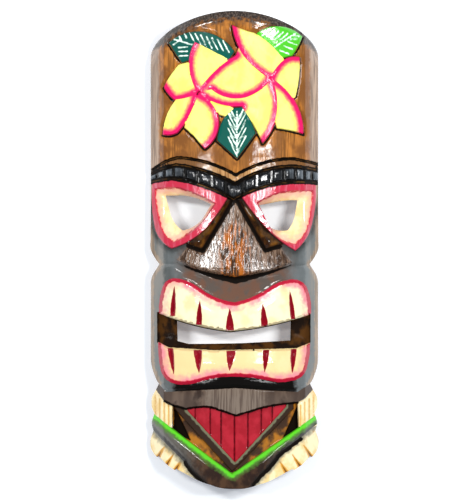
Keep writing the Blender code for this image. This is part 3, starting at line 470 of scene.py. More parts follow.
GAPS = (
    (-67.4, -62.3, -69.5, -62.9, -38.2), (-40, -34.3, -78.5, -36.2, -52.8),
    (-8.9, -0.6, -84.2, -5.1, -61.7), (28, 35, -80, 29.6, -56.6),
    (59.2, 63.7, -72.6, 57.9, -42.6), (-69.9, -64.6, -103.4, -63.6, -130.4),
    (-42.6, -34.3, -105, -37.1, -129.1), (-8.2, 1.3, -105.6, -5.3, -126.6),
    (29.9, 36.3, -105, 31.6, -127.9), (59.2, 64.9, -104.2, 60.5, -129.1),
)
GAP_BULGE = 0.9  # how far the sides of a gap between teeth bow outwards


def gap_outline(left, right, y, tip_x, tip_y):
    """A gap between teeth: straight at its mouth, bowed up to its point."""
    if tip_y < y:
        left, right = right, left
    return sample([(left, y, 0), (right, y, GAP_BULGE), (tip_x, tip_y, GAP_BULGE)])


TEETH = [sample(ring) for ring in (UPPER_TEETH, LOWER_TEETH)]
MOUTH_RING = sample(MOUTH)
OPENINGS = [snapped(ring) for ring in (EYES[0][2], EYES[1][2], sample(MOUTH_OPENING))]
GAP_RINGS = [gap_outline(*gap) for gap in GAPS]
GUM_LINE = 4.4
LIP_DEPTH = 0.0055
TOOTH_RISE = 0.0012
TOOTH_BOW = 0.0012
GUM_DEPTH = 0.0012
NOTCH_DEPTH = 0.0042
MOUTH_EDGE_DEPTH = 0.0050
MOUTH_SILL_DEPTH = 0.0130
LIP_RUN = (2, 15)  # units above the teeth over which the lip sinks
TOOTH_HALF = 14


def mouth_outside(places):
    """Distance outside the open mouth, between the rows of teeth."""
    teeth = [-depth_outside(places, ring) for ring in TEETH]
    return np.max([depth_outside(places, MOUTH_RING)] + teeth, axis=0)


def carve_mouth(places, cut):
    x, y = places[:, 0], places[:, 1]
    upper = depth_outside(places, TEETH[0])
    lip = ramp(upper, *LIP_RUN) * ramp(y, *LIP_FOOT_Y) * (1 - ramp(y, *LIP_TOP_Y))
    lip = lip * (1 - ramp(np.abs(x), *LIP_FADE_X))
    cut = mix(cut, LIP_DEPTH, lip * ramp(depth_outside(places, NOSE_RING), 0, NOSE_WALL))
    into = -mouth_outside(places)
    to_opening = np.maximum(depth_outside(places, OPENINGS[2]), 0)
    share = ramp(into, 0, np.maximum(into, 0) + to_opening + TINY)
    cut = sink(places, cut, MOUTH_RING, mix(MOUTH_EDGE_DEPTH, MOUTH_SILL_DEPTH, share))
    for ring in TEETH:
        outside = depth_outside(places, ring)
        bow = -TOOTH_RISE - TOOTH_BOW * ramp(-outside, 0, TOOTH_HALF)
        cut = mix(cut, bow, within(outside))
        gum = vee(np.abs(outside), GUM_LINE) * (mouth_outside(places) > GUM_LINE / 2)
        cut = cut + GUM_DEPTH * gum
    for ring in GAP_RINGS:
        width = np.ptp(ring[:, 0])
        cut = cut + NOTCH_DEPTH * ramp(-depth_outside(places, ring), 0, width / 2)
    return cut


print("gaps between teeth:", len(GAP_RINGS))

# %% [markdown]
# ## Below the jaw
# A chin band, a pleated shield in a collar, two arms that meet in a V, fingers above them and toes below.
# They are cut in this order, so each hides a little of the one before.

# %% Chin, shield, arms, hands and feet
CHIN = [(-80, -141), (-84, -148), (-74, -159), (-64.8, -163.2), (-50.9, -167, -1), (-25, -164.5),
        (1.3, -173.4), (28, -165.7, -1), (66.2, -160.7), (84, -148), (80, -141), (66, -149.5), (0, -145),
        (-72, -149.5)]
RECESS = [(-64.5, -160), (-65, -191), (-2.5, -238), (67, -191), (66.5, -158)]
PITS = (
    [(-63, -164), (-64, -192), (-46, -200)],
    [(66, -164), (57, -184), (50, -200), (67, -190)],
)
COLLAR = [(-63, -160), (-63, -167), (-2.5, -232), (62, -167), (62, -158)]
SHIELD = [(-50, -160), (-50, -167.5), (0.7, -222.4), (54, -164.5), (54, -158)]
PLEATS = (-41.3, -25.4, -14, 0, 14, 28, 39.5)
ARMS = [(-92, -168), (-92, -184), (-52, -223, 1), (-40, -238), (-22, -256), (14, -256), (28, -237, 1),
        (47, -215.4), (92, -179.5), (92, -170), (-2.5, -234.4)]
HAND_TOP = -150  # where the finger grooves start beside the rim
HAND_FOOT = -192
HAND_LEAN = 0.7  # and how much lower for each unit inwards
HANDS = (
    [(-84, -146), (-95, -158), (-95, -182), (-66, -193), (-64.8, -164.5), (-74, -159.5)],
    [(84, -146), (75, -156), (66.2, -161), (67.5, -193), (95, -182), (95, -158)],
)
FEET = [(-95, -180), (-95, -256), (95, -256), (95, -180), (0, -235)]
FINGERS = (69.3, 73.8, 78.6, 83.2)  # grooves between a hand's fingers, from the middle
TOES = ((-80.5, -218), (-71, -225.5), (-61.6, -230.5), (55, -234), (68.5, -227), (80.5, -217.5))
TOE_REACH = (5, 14)  # how far a toe's groove runs out past the rim, and in from it
TOE_LEAN = (0.55, 0.84)  # its direction, inwards and up
RINGS_BELOW = {"chin": sample(CHIN), "recess": sample(RECESS), "collar": sample(COLLAR),
               "shield": sample(SHIELD), "arms": sample(ARMS), "feet": sample(FEET)}
PIT_RINGS = [sample(ring) for ring in PITS]
HAND_RINGS = [sample(ring) for ring in HANDS]
FINGER_GROOVE = 3.2
PLEAT_GROOVE = 2.6
ARM_ROUND = 7.0
CHIN_DEPTH = 0.0024
RECESS_DEPTH = 0.0100
PIT_DEPTH = 0.0126
COLLAR_DEPTH = 0.0056
SHIELD_DEPTH = 0.0084
PLEAT_DEPTH = 0.0012
ARM_CREST_DEPTH = 0.0006
ARM_EDGE_DEPTH = 0.0052
HAND_DEPTH = 0.0034
FOOT_DEPTH = 0.0060
FINGER_DEPTH = 0.0014


def toe_line(x, y):
    """The groove beside a toe, from outside the rim inwards."""
    inward = np.array((-math.copysign(TOE_LEAN[0], x), TOE_LEAN[1]))
    return np.array([(x, y) - inward * TOE_REACH[0], (x, y), (x, y) + inward * TOE_REACH[1]])


def toe_grooves(places):
    """How deep the short grooves between the toes run, from 0 to 1."""
    grooves = [vee(distance(places, toe_line(*toe), False), FINGER_GROOVE) for toe in TOES]
    return np.max(grooves, axis=0)


def carve_below(places, cut):
    x = places[:, 0]
    outside = {name: depth_outside(places, ring) for name, ring in RINGS_BELOW.items()}
    cut = mix(cut, FOOT_DEPTH, within(outside["feet"]))
    cut = cut + FINGER_DEPTH * toe_grooves(places)
    cut = mix(cut, RECESS_DEPTH, within(outside["recess"]))
    for ring in PIT_RINGS:
        cut = sink(places, cut, ring, PIT_DEPTH)
    cut = mix(cut, COLLAR_DEPTH, within(outside["collar"]))
    pleats = np.max([vee(np.abs(x - pleat), PLEAT_GROOVE) for pleat in PLEATS], axis=0)
    cut = mix(cut, SHIELD_DEPTH + PLEAT_DEPTH * pleats, within(outside["shield"]))
    fingers = np.max([vee(np.abs(np.abs(x) - finger), FINGER_GROOVE) for finger in FINGERS], axis=0)
    for ring in HAND_RINGS:
        cut = sink(places, cut, ring, HAND_DEPTH + FINGER_DEPTH * fingers)
    arm = mix(ARM_EDGE_DEPTH, ARM_CREST_DEPTH, ramp(-outside["arms"], 0, ARM_ROUND))
    cut = mix(cut, arm, within(outside["arms"]))
    return mix(cut, CHIN_DEPTH, within(outside["chin"]))


print("pleats:", len(PLEATS), "toe grooves:", len(TOES))

# %% [markdown]
# ## The face and the hollow
# The face is a height above the flat back at every place on the sheet. The hollow follows the round face
# at a constant thickness, so the wood is as thick at the cheeks as at the nose.

# %% Heights of both sides
WALL_THICKNESS = 0.020  # from the round face to the hollow behind it
HOLLOW_WIDTH = 0.152
HOLLOW_LENGTH = 0.440
HOLLOW_CORNER = 0.030  # radius where its sides meet its ends
HOLLOW_SLOPE = 0.0024  # how far its wall leans in
LEVEL = 0.02  # share of the slope that stays level at its top and its foot


def face_height(places):
    """How high the carved face stands above the flat back."""
    x, y = places[:, 0], places[:, 1]
    cut = carve_brow(places, carve_flowers(places, np.zeros(len(places))))
    for below_y, carve in ((MIDDLE_BELOW_Y, carve_middle), (MOUTH_BELOW_Y, carve_mouth),
                           (JAW_BELOW_Y, carve_below)):
        cut = np.where(y < below_y, carve(places, cut), cut)
    crown = ramp(y, CROWN_FROM_Y - CROWN_FADE, CROWN_FROM_Y)
    bevel = crown * ramp(depth_outside(places, RIM), -CROWN_BEVEL, 0)
    return np.maximum(blank_height(x) - cut - CROWN_DROP * bevel, LEAST_EDGE)


def hollow_outline(inset):
    """The hollow's outline on the back: a rectangle with round corners."""
    half_x = HOLLOW_WIDTH / 2 / UNIT - inset
    half_y = HOLLOW_LENGTH / 2 / UNIT - inset
    radius = HOLLOW_CORNER / UNIT - inset
    bulge = radius * (1 - math.sqrt(0.5))
    corner = []
    for side_x, side_y in ((1, 1), (-1, 1), (-1, -1), (1, -1)):
        on_side = (side_x * half_x, side_y * (half_y - radius))
        on_end = (side_x * (half_x - radius), side_y * half_y)
        first, second = (on_side, on_end) if side_x * side_y > 0 else (on_end, on_side)
        corner += [first + (bulge,), second + (0,)]
    return sample(corner)


def back_height(places):
    """Height of the underside: 0 on the rim, and the vault of the hollow."""
    vault = np.maximum(blank_height(places[:, 0]) - WALL_THICKNESS, 0)
    slope = HOLLOW_SLOPE / UNIT
    return vault * ramp(-depth_outside(places, hollow_outline(0)), slope * LEVEL, slope * (1 - LEVEL))


print("hollow:", HOLLOW_WIDTH, "by", HOLLOW_LENGTH, "m")

# %% [markdown]
# ## Triangles that follow the knife
# A plain grid would step along every slanted cut. Instead, lines of points run along both edges of each
# cut, and a constrained Delaunay triangulation keeps them as edges. Loose points fill the plain areas.

# %% Lines along the cuts
SHARPEST = 0.6  # least length of a corner's normal, so that no point shoots out
OFF_LINE = 0.45  # units by which a moved point may miss its own distance
HIDDEN = 0.9  # share of a cut's half width that an edge keeps from what hides it


def offset(ring, away):
    """A closed outline moved outwards, with its corners kept sharp."""
    before = ring - np.roll(ring, 1, axis=0)
    after = np.roll(ring, -1, axis=0) - ring
    before = before / np.linalg.norm(before, axis=1)[:, None]
    after = after / np.linalg.norm(after, axis=1)[:, None]
    normal = np.column_stack((before[:, 1] + after[:, 1], -before[:, 0] - after[:, 0]))
    length = np.maximum(np.linalg.norm(normal, axis=1), SHARPEST)
    return ring + normal * (2 * away / length ** 2)[:, None]


def contour(ring, away, field):
    """The stretches of a moved outline that lie where the field says."""
    line = offset(ring, away) if away else ring
    good = np.abs(field(line) - away) < OFF_LINE
    stretches = zip(line, np.roll(line, -1, axis=0), good & np.roll(good, -1))
    return [(start, end) for start, end, keep in stretches if keep]


def shifted(line, away):
    """An open line moved sideways."""
    along = np.gradient(line, axis=0)
    along = along / np.linalg.norm(along, axis=1)[:, None]
    return line + away * np.column_stack((along[:, 1], -along[:, 0]))


def open_edges(line):
    return list(zip(line[:-1], line[1:]))


def groove_edges(line, width):
    """A groove's middle and its two sides, along an open line."""
    return [edge for away in (-width / 2, 0, width / 2) for edge in open_edges(shifted(line, away))]


def upright(x, top, foot):
    """A line straight up or down the mask."""
    return sample([(x, top), (x, foot)], False)


def clear_of(edges, rings, room):
    """The edges that keep some room from several outlines."""
    return [edge for edge in edges if nearest_ring(np.array(edge), rings).min() > room]


def ring_edges(ring, *offsets):
    edges = []
    for away in offsets:
        edges += contour(ring, away, lambda places: depth_outside(places, ring))
    return edges


def pattern_edges():
    """Every line that the solid's triangles follow."""
    edges = []
    half = WALL / 2
    for name, ring in PETAL_RINGS.items():
        for away in (-half, half):
            edges += contour(ring, away, lambda places: petal_outside(places, name))
    for ring in LEAF_RINGS.values():
        edges += clear_of(ring_edges(ring, -half, half), PETAL_RINGS.values(), half)
    for ring in FLOWER_RINGS:
        edges += contour(ring, MOAT, flowers_outside)
    for line in BROW_LINES:
        edges += groove_edges(line, LINE_WIDTH)
    for start, end in zip((BOSS[2],) + BEAD_ENDS, BEAD_ENDS):
        for inset in (0, BEAD_SHOULDER):
            for corners in bead_corners(start, end, inset):
                edges += zip(corners, np.roll(corners, -1, axis=0))
    turns = [2 * math.pi * step / BOSS_STEPS for step in range(BOSS_STEPS)]
    circle = np.array([(math.cos(turn), math.sin(turn)) for turn in turns])
    boss = BOSS[:2] + BOSS[2] * circle
    edges += ring_edges(boss, 0)
    for rim, shelf, _ in EYES:
        edges += ring_edges(rim, -half, half) + ring_edges(shelf, -half, half)
    for ring in TRENCH_RINGS:
        edges += clear_of(ring_edges(ring, -WALL, WALL), [NOSE_RING, EYES[0][0], EYES[1][0]], half)
    edges += ring_edges(NOSE_RING, -NOSE_WALL / 2, NOSE_WALL / 2)
    for line in FOLDS:
        edges += groove_edges(line, FOLD_WIDTH)
    for ring in TEETH:
        edges += ring_edges(ring, -GUM_LINE / 2, 0, GUM_LINE / 2)
    edges += clear_of(ring_edges(MOUTH_RING, -half, half), TEETH, 0)
    for ring, (left, right, y, tip_x, tip_y) in zip(GAP_RINGS, GAPS):
        edges += ring_edges(ring, 0)
        edges += open_edges(sample([((left + right) / 2, y), (tip_x, tip_y)], False))
    for side in (-SHOULDER_X, SHOULDER_X):
        edges += open_edges(upright(side, FOOT_END[1], HALF_RIM[0][1]))
    return edges + edges_below()


def edges_below():
    """The lines below the jaw, where each part hides those carved before it."""
    half = WALL / 2
    order = [("feet", RINGS_BELOW["feet"]), ("recess", RINGS_BELOW["recess"])]
    order += [("pit", ring) for ring in PIT_RINGS]
    order += [("collar", RINGS_BELOW["collar"]), ("shield", RINGS_BELOW["shield"])]
    order += [("hand", ring) for ring in HAND_RINGS]
    order += [("arms", RINGS_BELOW["arms"]), ("chin", RINGS_BELOW["chin"])]
    edges = []
    for index, (name, ring) in enumerate(order):
        lines = ring_edges(ring, -half, half)
        if name == "arms":
            lines += ring_edges(ring, -ARM_ROUND)
        if name == "shield":
            for pleat in PLEATS:
                for across in (-PLEAT_GROOVE / 2, 0, PLEAT_GROOVE / 2):
                    line = upright(pleat + across, SHIELD[0][1], SHIELD[2][1])
                    inside = depth_outside(line, ring) < -WALL
                    kept = inside[1:] & inside[:-1]
                    lines += [edge for edge, keep in zip(open_edges(line), kept) if keep]
        if name == "hand":
            side = math.copysign(1, ring[0][0])
            for finger in FINGERS[:-1]:
                top = HAND_TOP - (RIM_X - finger) * HAND_LEAN
                for across in (-FINGER_GROOVE / 2, 0, FINGER_GROOVE / 2):
                    lines += open_edges(upright(side * (finger + across), top, HAND_FOOT))
        if name == "feet":
            for toe in TOES:
                lines += groove_edges(toe_line(*toe), FINGER_GROOVE)
        edges += clear_of(lines, [other for _, other in order[index + 1:]], half * HIDDEN)
    return edges


# %% [markdown]
# The fill points keep clear of the lines, or thin slivers of triangles would catch the light. A k-d tree
# finds the nearest line point quickly.

# %% Fill the sheet and triangulate it
FILL_STEP = 1.75
BACK_STEP = 3.2
CLEARANCE = 0.55  # share of a step that a fill point keeps from a line
LINE_MARGIN = 0.3  # units that lines, and then the fill points, keep from the wood's edges
FILL_MARGIN = 0.8
BACK_MARGIN = 1.5


def hexagonal_fill(step):
    rows = np.arange(-SHEET_HEIGHT / 2, SHEET_HEIGHT / 2, step * math.sqrt(0.75))
    columns = np.arange(-RIM_X - step, RIM_X + step, step)
    return np.array([(x + step / 2 * (row % 2), y) for row, y in enumerate(rows) for x in columns])


def on_wood(places, margin=0.0):
    """Whether each place is inside the rim and outside the three openings."""
    wood = depth_outside(places, RIM) < -margin
    for ring in OPENINGS:
        wood &= depth_outside(places, ring) > margin
    return wood


def boundary(triangles):
    """The edges that only one triangle uses, each in that triangle's turn."""
    used = {}
    for triangle in triangles:
        for first, second in zip(triangle, np.roll(triangle, -1)):
            used[(first, second)] = True
    return [(int(a), int(b)) for a, b in used if (b, a) not in used]


def keep_clear(points, line_points, clearance):
    """The points at least a clearance away from every point of the lines."""
    tree = KDTree(len(line_points))
    for index, (x, y) in enumerate(line_points):
        tree.insert((x, y, 0), index)
    tree.balance()
    return [point for point in points if tree.find((point[0], point[1], 0))[2] > clearance]


def triangulate(edges, points):
    """The places and the corner numbers of triangles over edges and loose points."""
    numbers, places, links = {}, [], []

    def number(place):
        key = (round(place[0] / SNAP), round(place[1] / SNAP))
        if key not in numbers:
            numbers[key] = len(places)
            places.append(Vector((key[0] * SNAP, key[1] * SNAP)))
        return numbers[key]

    for start, end in edges:
        links.append((number(start), number(end)))
    for place in points:
        number(place)
    links = [link for link in links if link[0] != link[1]]
    result = delaunay_2d_cdt(places, links, [], 0, WELD)
    return np.array([tuple(place) for place in result[0]]), np.array(result[2])


edges = [edge for edge in pattern_edges() if on_wood(np.array(edge), LINE_MARGIN).all()]
outlines = [edge for ring in [RIM] + OPENINGS for edge in zip(ring, np.roll(ring, -1, axis=0))]
line_points = [end for edge in edges + outlines for end in edge]
fill = hexagonal_fill(FILL_STEP)
fill = keep_clear(fill[on_wood(fill, FILL_MARGIN)], line_points, CLEARANCE * FILL_STEP)
places, triangles = triangulate(outlines + edges, fill)
triangles = triangles[on_wood(places[triangles].mean(axis=1))]
rim_links = boundary(triangles)
print("front:", len(places), "points,", len(triangles), "triangles")

# %% The hollow's own triangles
hollow_edges = [edge for inset in (0, HOLLOW_SLOPE / UNIT)
                for edge in ring_edges(hollow_outline(inset), 0)]
back_fill = hexagonal_fill(BACK_STEP)
back_lines = [end for edge in hollow_edges for end in edge] + [places[a] for a, _ in rim_links]
back_fill = back_fill[on_wood(back_fill, BACK_MARGIN)]
back_fill = keep_clear(back_fill, back_lines, CLEARANCE * BACK_STEP)
rim_numbers, back_inputs, back_links = {}, [], []
for link in rim_links:
    for corner in link:
        if corner not in rim_numbers:
            rim_numbers[corner] = len(back_inputs)
            back_inputs.append(Vector(places[corner]))
    back_links.append((rim_numbers[link[0]], rim_numbers[link[1]]))
for start, end in hollow_edges:
    back_links.append((len(back_inputs), len(back_inputs) + 1))
    back_inputs += [Vector(start), Vector(end)]
back_inputs += [Vector(place) for place in back_fill]
back_result = delaunay_2d_cdt(back_inputs, back_links, [], 0, WELD)
back = np.array([tuple(place) for place in back_result[0]])
back_triangles = np.array(back_result[2])
back_triangles = back_triangles[on_wood(back[back_triangles].mean(axis=1))]
came_from = {source: index for index, sources in enumerate(back_result[3]) for source in sources}
print("back:", len(back), "points,", len(back_triangles), "triangles")

# %% [markdown]
# ## Where the paint goes
# The painter follows the carver's lines, so the same outlines say where each paint ends. Each coat gets an
# attribute on the mesh: the distance outside its outline, in units of the sheet. The material draws a
# crisp edge where it passes zero, whatever the size of the triangles.

# %% Strokes of black line, painted shadow and white veins
# Combs of brushed veins on the leaves: first and last start, how many, heading in degrees and length
COMBS = (((-64.3, 220.9), (-64.3, 220.9), 1, -18, 21), ((-58.5, 225), (-52.5, 226.5), 2, -65, 6),
         ((-47, 227.5), (-12, 218.5), 7, -64, 14), ((-64.3, 214.7), (-61, 217), 2, 34, 6),
         ((-59, 211.8), (-58.1, 202.8), 3, 2, 9.5), ((42, 212), (42, 212), 1, 34, 28),
         ((29.1, 223.8), (47.7, 219), 5, 43, 11),
         ((47.5, 208.5), (56.3, 218), 3, -20, 10), ((58.7, 220.5), (61.5, 223.8), 2, 0, 7),
         ((2.6, 97), (2.6, 97), 1, 90, 48), ((2, 99), (1.6, 134), 5, 114, 21),
         ((3.2, 101), (3.2, 134), 5, 64, 20))
# Black lines: an open outline and the line's half width
NOSE_LEFT = [(0.7, 54), (-33, -1.5), (-49, 4)]
NOSE_RIGHT = [(0.7, 54), (32, -1), (48, 3.6)]
CHIN_EDGE = CHIN[2:9]
ARMS_UNDER_LEFT = [(-52, -223, 1), (-40, -238), (-28, -248)]
ARMS_UNDER_RIGHT = [(20, -246), (28, -237, 1), (47, -215.4), (70, -199)]
INK = ((BROW_HIGH, 1.8), (BROW_LOW, 2.1), (LID_LINE, 2.4), (NOSE_LEFT, 2.2), (NOSE_RIGHT, 2.2),
       (CHIN_EDGE, 1.3), (ARMS_UNDER_LEFT, 1.9), (ARMS_UNDER_RIGHT, 1.9))
# The shadow line under the nose is a long lens, wide in its middle
UNDER_NOSE = [(-63, -12, 3), (1.3, -35.6, 2), (63, -14.5, -1.6), (1.3, -28.4, -2.4)]
# Chips out of the teeth's edges and specks on the petals: place and radius
CHIPS = ((7, -85.6, 1.2), (11, -85.2, 0.8), (19, -84.2, 1.5), (-17, -80.5, 0.9), (20, -105, 1.2),
         (14.4, 211, 0.7), (4.2, 191.4, 0.9), (-31.5, 176.7, 0.7), (-49, 150, 0.6), (49, 189, 0.6))
# The black line round the flowers is wider under them, where their edge faces down the mask: the extra
# width is a painted shadow under the raised flowers
FLOWER_LINE_AND_SHADOW = (0.5, 2.5)
FLOWER_SHADOW_TURN = (-0.35, 0.45)  # share of the edge's slope that faces down, thin to wide
LAP = 0.2  # how far a black line laps over what it borders


def veins():
    """The brushed veins of the three leaves, as lines."""
    lines = []
    for first, last, count, heading, length in COMBS:
        turn = math.radians(heading)
        stroke = length * np.array((math.cos(turn), math.sin(turn)))
        for share in np.linspace(0, 1, count):
            start = mix(np.array(first), np.array(last), share)
            lines.append(np.array([start, start + stroke]))
    return lines


def ink_and_shadow_outside(places):
    """Distance outside the black lines and the painted shadows."""
    lines = [distance(places, sample(line, False), False) - half_width for line, half_width in INK]
    lines += [depth_outside(places, sample(UNDER_NOSE))]
    lines += [np.hypot(places[:, 0] - x, places[:, 1] - y) - radius for x, y, radius in CHIPS]
    step = 0.5
    edge = flowers_outside(places)
    lean_x = flowers_outside(places + (step, 0)) - edge
    lean_y = flowers_outside(places + (0, step)) - edge
    down = -lean_y / np.maximum(np.hypot(lean_x, lean_y), TINY)
    # where the flowers' edge faces down the mask, the line widens into a painted shadow
    width = mix(*FLOWER_LINE_AND_SHADOW, ramp(down, *FLOWER_SHADOW_TURN))
    lines += [np.where(edge > -LAP, edge - width, REACH)]
    return np.min(lines, axis=0, initial=REACH)


# %% Every coat's distance
OWN_PETAL = 0.4  # a petal's crest is painted this far past its outline
ROUND_PETALS = (4, -0.3)  # and on the flowers' outer slope: beyond the petal, and past all of them
OPEN_MOUTH = 1.2  # a gum this near to the open mouth isn't painted
ROWS_MEET_Y = -92
UNDER_LIP_Y = (-150, -126)
UNDER_LIP_X = 64
ASIDE_FROM_Y = 15  # above it, higher counts as further aside
FINGER_INK = 0.7  # half width of the dark line between two fingers
TOE_INK = 2.3  # and between two toes, at the rim
TOE_FADE = 0.15  # how fast a toe's line narrows away from the rim


def outer_gum(ring):
    """The part of a row of teeth's outline that doesn't border the open mouth."""
    away = mouth_outside(ring) > OPEN_MOUTH
    first = int(np.argmax(away & ~np.roll(away, 1)))
    ring, away = np.roll(ring, -first, axis=0), np.roll(away, -first)
    return ring[:int(np.argmin(away))] if not away.all() else ring


def nearest_line(places, lines):
    return np.min([distance(places, np.array(line), False) for line in lines], axis=0)


def digit_outside(places, rim):
    """Distance outside the dark lines between fingers and between toes."""
    fingers = [[(side * x, HAND_TOP - HAND_LEAN * (RIM_X - x)), (side * x, HAND_FOOT)]
               for x in FINGERS for side in (-1, 1)]
    toes = nearest_line(places, [toe_line(*toe) for toe in TOES])
    return np.minimum(nearest_line(places, fingers) - FINGER_INK, toes - TOE_INK + TOE_FADE * rim)


def paint_distances(places):
    """Where each coat of paint ends, as distances outside its area."""
    x, y = places[:, 0], places[:, 1]
    high, low, lid = (y - brow_height(line, x) for line in BROW_LINES)
    bead, band = inside_bead(places)
    boss = BOSS[2] - np.hypot(x - BOSS[0], y - BOSS[1])
    rim = -depth_outside(places, RIM)
    coats = {
        "ink_and_painted_shadow": ink_and_shadow_outside(places), "bead": -np.maximum(bead, boss), "band": -band, "lid": lid,
        "brow_strip": np.maximum(high, -low), "mouth": mouth_outside(places),
        "under_lip": np.max((UNDER_LIP_Y[0] - y, y - UNDER_LIP_Y[1], np.abs(x) - UNDER_LIP_X), axis=0),
        "lower_teeth": y - ROWS_MEET_Y, "facet": SHOULDER_X - np.abs(x),
        "aside": np.abs(x) + np.maximum(y - ASIDE_FROM_Y, 0), "outer": rim,
        "crown": rim + np.maximum(CROWN_FROM_Y + CROWN_FADE - y, 0),
        "pleat": np.min([np.abs(x - pleat) for pleat in PLEATS], axis=0),
        "digit": digit_outside(places, rim),
    }
    rings = {"dark_leaf": [LEAF_RINGS["left_leaf"], LEAF_RINGS["low_leaf"]],
             "light_leaf": [LEAF_RINGS["right_leaf"]], "eye_rim": [eye[0] for eye in EYES],
             "eye_sill": [eye[1] for eye in EYES], "trench": TRENCH_RINGS, "nose": [NOSE_RING],
             "teeth": TEETH, "gap": GAP_RINGS, "pit": PIT_RINGS, "hands": HAND_RINGS,
             **{name: [ring] for name, ring in RINGS_BELOW.items()}}
    lines = {"vein": veins(), "gum": [outer_gum(ring) for ring in TEETH], "cut_line": BROW_LINES,
             "arm_top": [[ARMS[0][:2], ARMS[-1][:2], ARMS[-2][:2]]]}
    coats.update((name, nearest_ring(places, some)) for name, some in rings.items())
    coats.update((name, nearest_line(places, some)) for name, some in lines.items())
    petals = {name: petal_outside(places, name) for name in PETALS}
    coats["petal"] = np.min(list(petals.values()), axis=0)
    coats["crest"] = np.full(len(places), REACH)
    for name, outside in petals.items():
        own = (outside < OWN_PETAL) | ((outside < ROUND_PETALS[0]) & (coats["petal"] > ROUND_PETALS[1]))
        for line in PETAL_CRESTS[name]:
            nearer = np.minimum(coats["crest"], distance(places, line, False))
            coats["crest"] = np.where(own, nearer, coats["crest"])
    return coats


coats = paint_distances(places)
print("coats:", len(coats))

# %% [markdown]
# ## One mesh
# Front, back and the sawn edge between them become one closed mesh, like the one piece of wood. The
# `gouged` attribute says how far the gouge's marks may show: fully in the hollow, faintly on bare wood.

# %% Join the two sides
# Where the varnish is thin and the grain stands open: place and radius
OPEN_GRAIN = ((30, 92, 16), (-30, 60, 15), (30, 58, 16), (-32, -44, 12), (5, 66, 14), (10, -157, 26),
              (-38, -150, 8))
NOSE_GRAIN = 0.42  # how open the grain stands on the nose
SPOT_GRAIN = 0.4
# Where the gouge's marks start and are full, in units: clear of the paint, above the lid line, inside the
# rim, inside the hollow's outline and away from an opening
CLEAR_OF_PAINT, ABOVE_LID, INSIDE_RIM = (1, 4), (30, 36), (2, 6)
INSIDE_HOLLOW, OFF_OPENING = (2.5, 6), (1, 4)
GOUGED_FACE = 0.15  # how far they show on the forehead


def show(name, data):
    """A new object in the scene."""
    shown = bpy.data.objects.new(name, data)
    bpy.context.scene.collection.objects.link(shown)
    return shown


front_z = face_height(places)
back_z = back_height(back)
mesh = bpy.data.meshes.new("tiki_mask")
work = bmesh.new()
front_points = [work.verts.new((x * UNIT, y * UNIT, z)) for (x, y), z in zip(places, front_z)]
back_points = [work.verts.new((x * UNIT, y * UNIT, z)) for (x, y), z in zip(back, back_z)]
for a, b, c in triangles:
    work.faces.new((front_points[a], front_points[b], front_points[c]))
for a, b, c in back_triangles:
    work.faces.new((back_points[c], back_points[b], back_points[a]))
for a, b in rim_links:
    low_a, low_b = back_points[came_from[rim_numbers[a]]], back_points[came_from[rim_numbers[b]]]
    for corners in ((front_points[b], front_points[a], low_a), (front_points[b], low_a, low_b)):
        work.faces.new(corners)
work.to_mesh(mesh)
work.free()
side = np.repeat((0, 1, 2), (len(triangles), len(back_triangles), 2 * len(rim_links)))
mesh.attributes.new("side", "INT", "FACE").data.foreach_set("value", side.astype(np.int32))
bare = ramp(coats["lid"], *ABOVE_LID) * ramp(coats["outer"], *INSIDE_RIM)
for name in ("petal", "dark_leaf", "light_leaf"):
    bare = bare * ramp(coats[name], *CLEAR_OF_PAINT)
in_hollow = ramp(-depth_outside(back, hollow_outline(0)), *INSIDE_HOLLOW)
for ring in OPENINGS:
    in_hollow = in_hollow * ramp(depth_outside(back, ring), *OFF_OPENING)
layers = {name: np.concatenate((values, np.full(len(back), REACH))) for name, values in coats.items()}
layers["gouged"] = np.concatenate((GOUGED_FACE * bare, in_hollow))
open_grain = NOSE_GRAIN * ramp(-coats["nose"], 0, 3)
for x, y, radius in OPEN_GRAIN:
    spot = ramp(radius - np.hypot(places[:, 0] - x, places[:, 1] - y), 0, radius / 2)
    open_grain = np.maximum(open_grain, SPOT_GRAIN * spot)
layers["open_grain"] = np.concatenate((open_grain, np.zeros(len(back))))
for name, values in layers.items():
    mesh.attributes.new(name, "FLOAT", "POINT").data.foreach_set("value", values.astype(np.float32))
mask = show("carved_mask", mesh)
print("mesh:", len(mesh.vertices), "points,", len(mesh.polygons), "triangles")

# %% [markdown]
# ## Marks of the gouge
# A gouge leaves shallow scoops, drawn out along its stroke. A Geometry Nodes tree presses them into the
# wood where `gouged` allows, and hands each side of the mask its material. Its result is then frozen into
# a plain mesh.

# %% A node, with its settings and inputs
def add(tree, kind, settings=None, inputs=None):
    """A new node. An input is a value, or the output of another node."""
    node = tree.nodes.new(kind)
    for name, value in (settings or {}).items():
        setattr(node, name, value)
    for name, value in (inputs or {}).items():
        if isinstance(value, bpy.types.NodeSocket):
            tree.links.new(value, node.inputs[name])
        else:
            node.inputs[name].default_value = value
    return node


def linear(code):
    """A shader's colour from a colour as a screen shows it, such as #8A5A30."""
    parts = [int(code[place:place + 2], 16) / 255 for place in (1, 3, 5)]
    return [part / 12.92 if part <= 0.04045 else ((part + 0.055) / 1.055) ** 2.4 for part in parts] + [1]


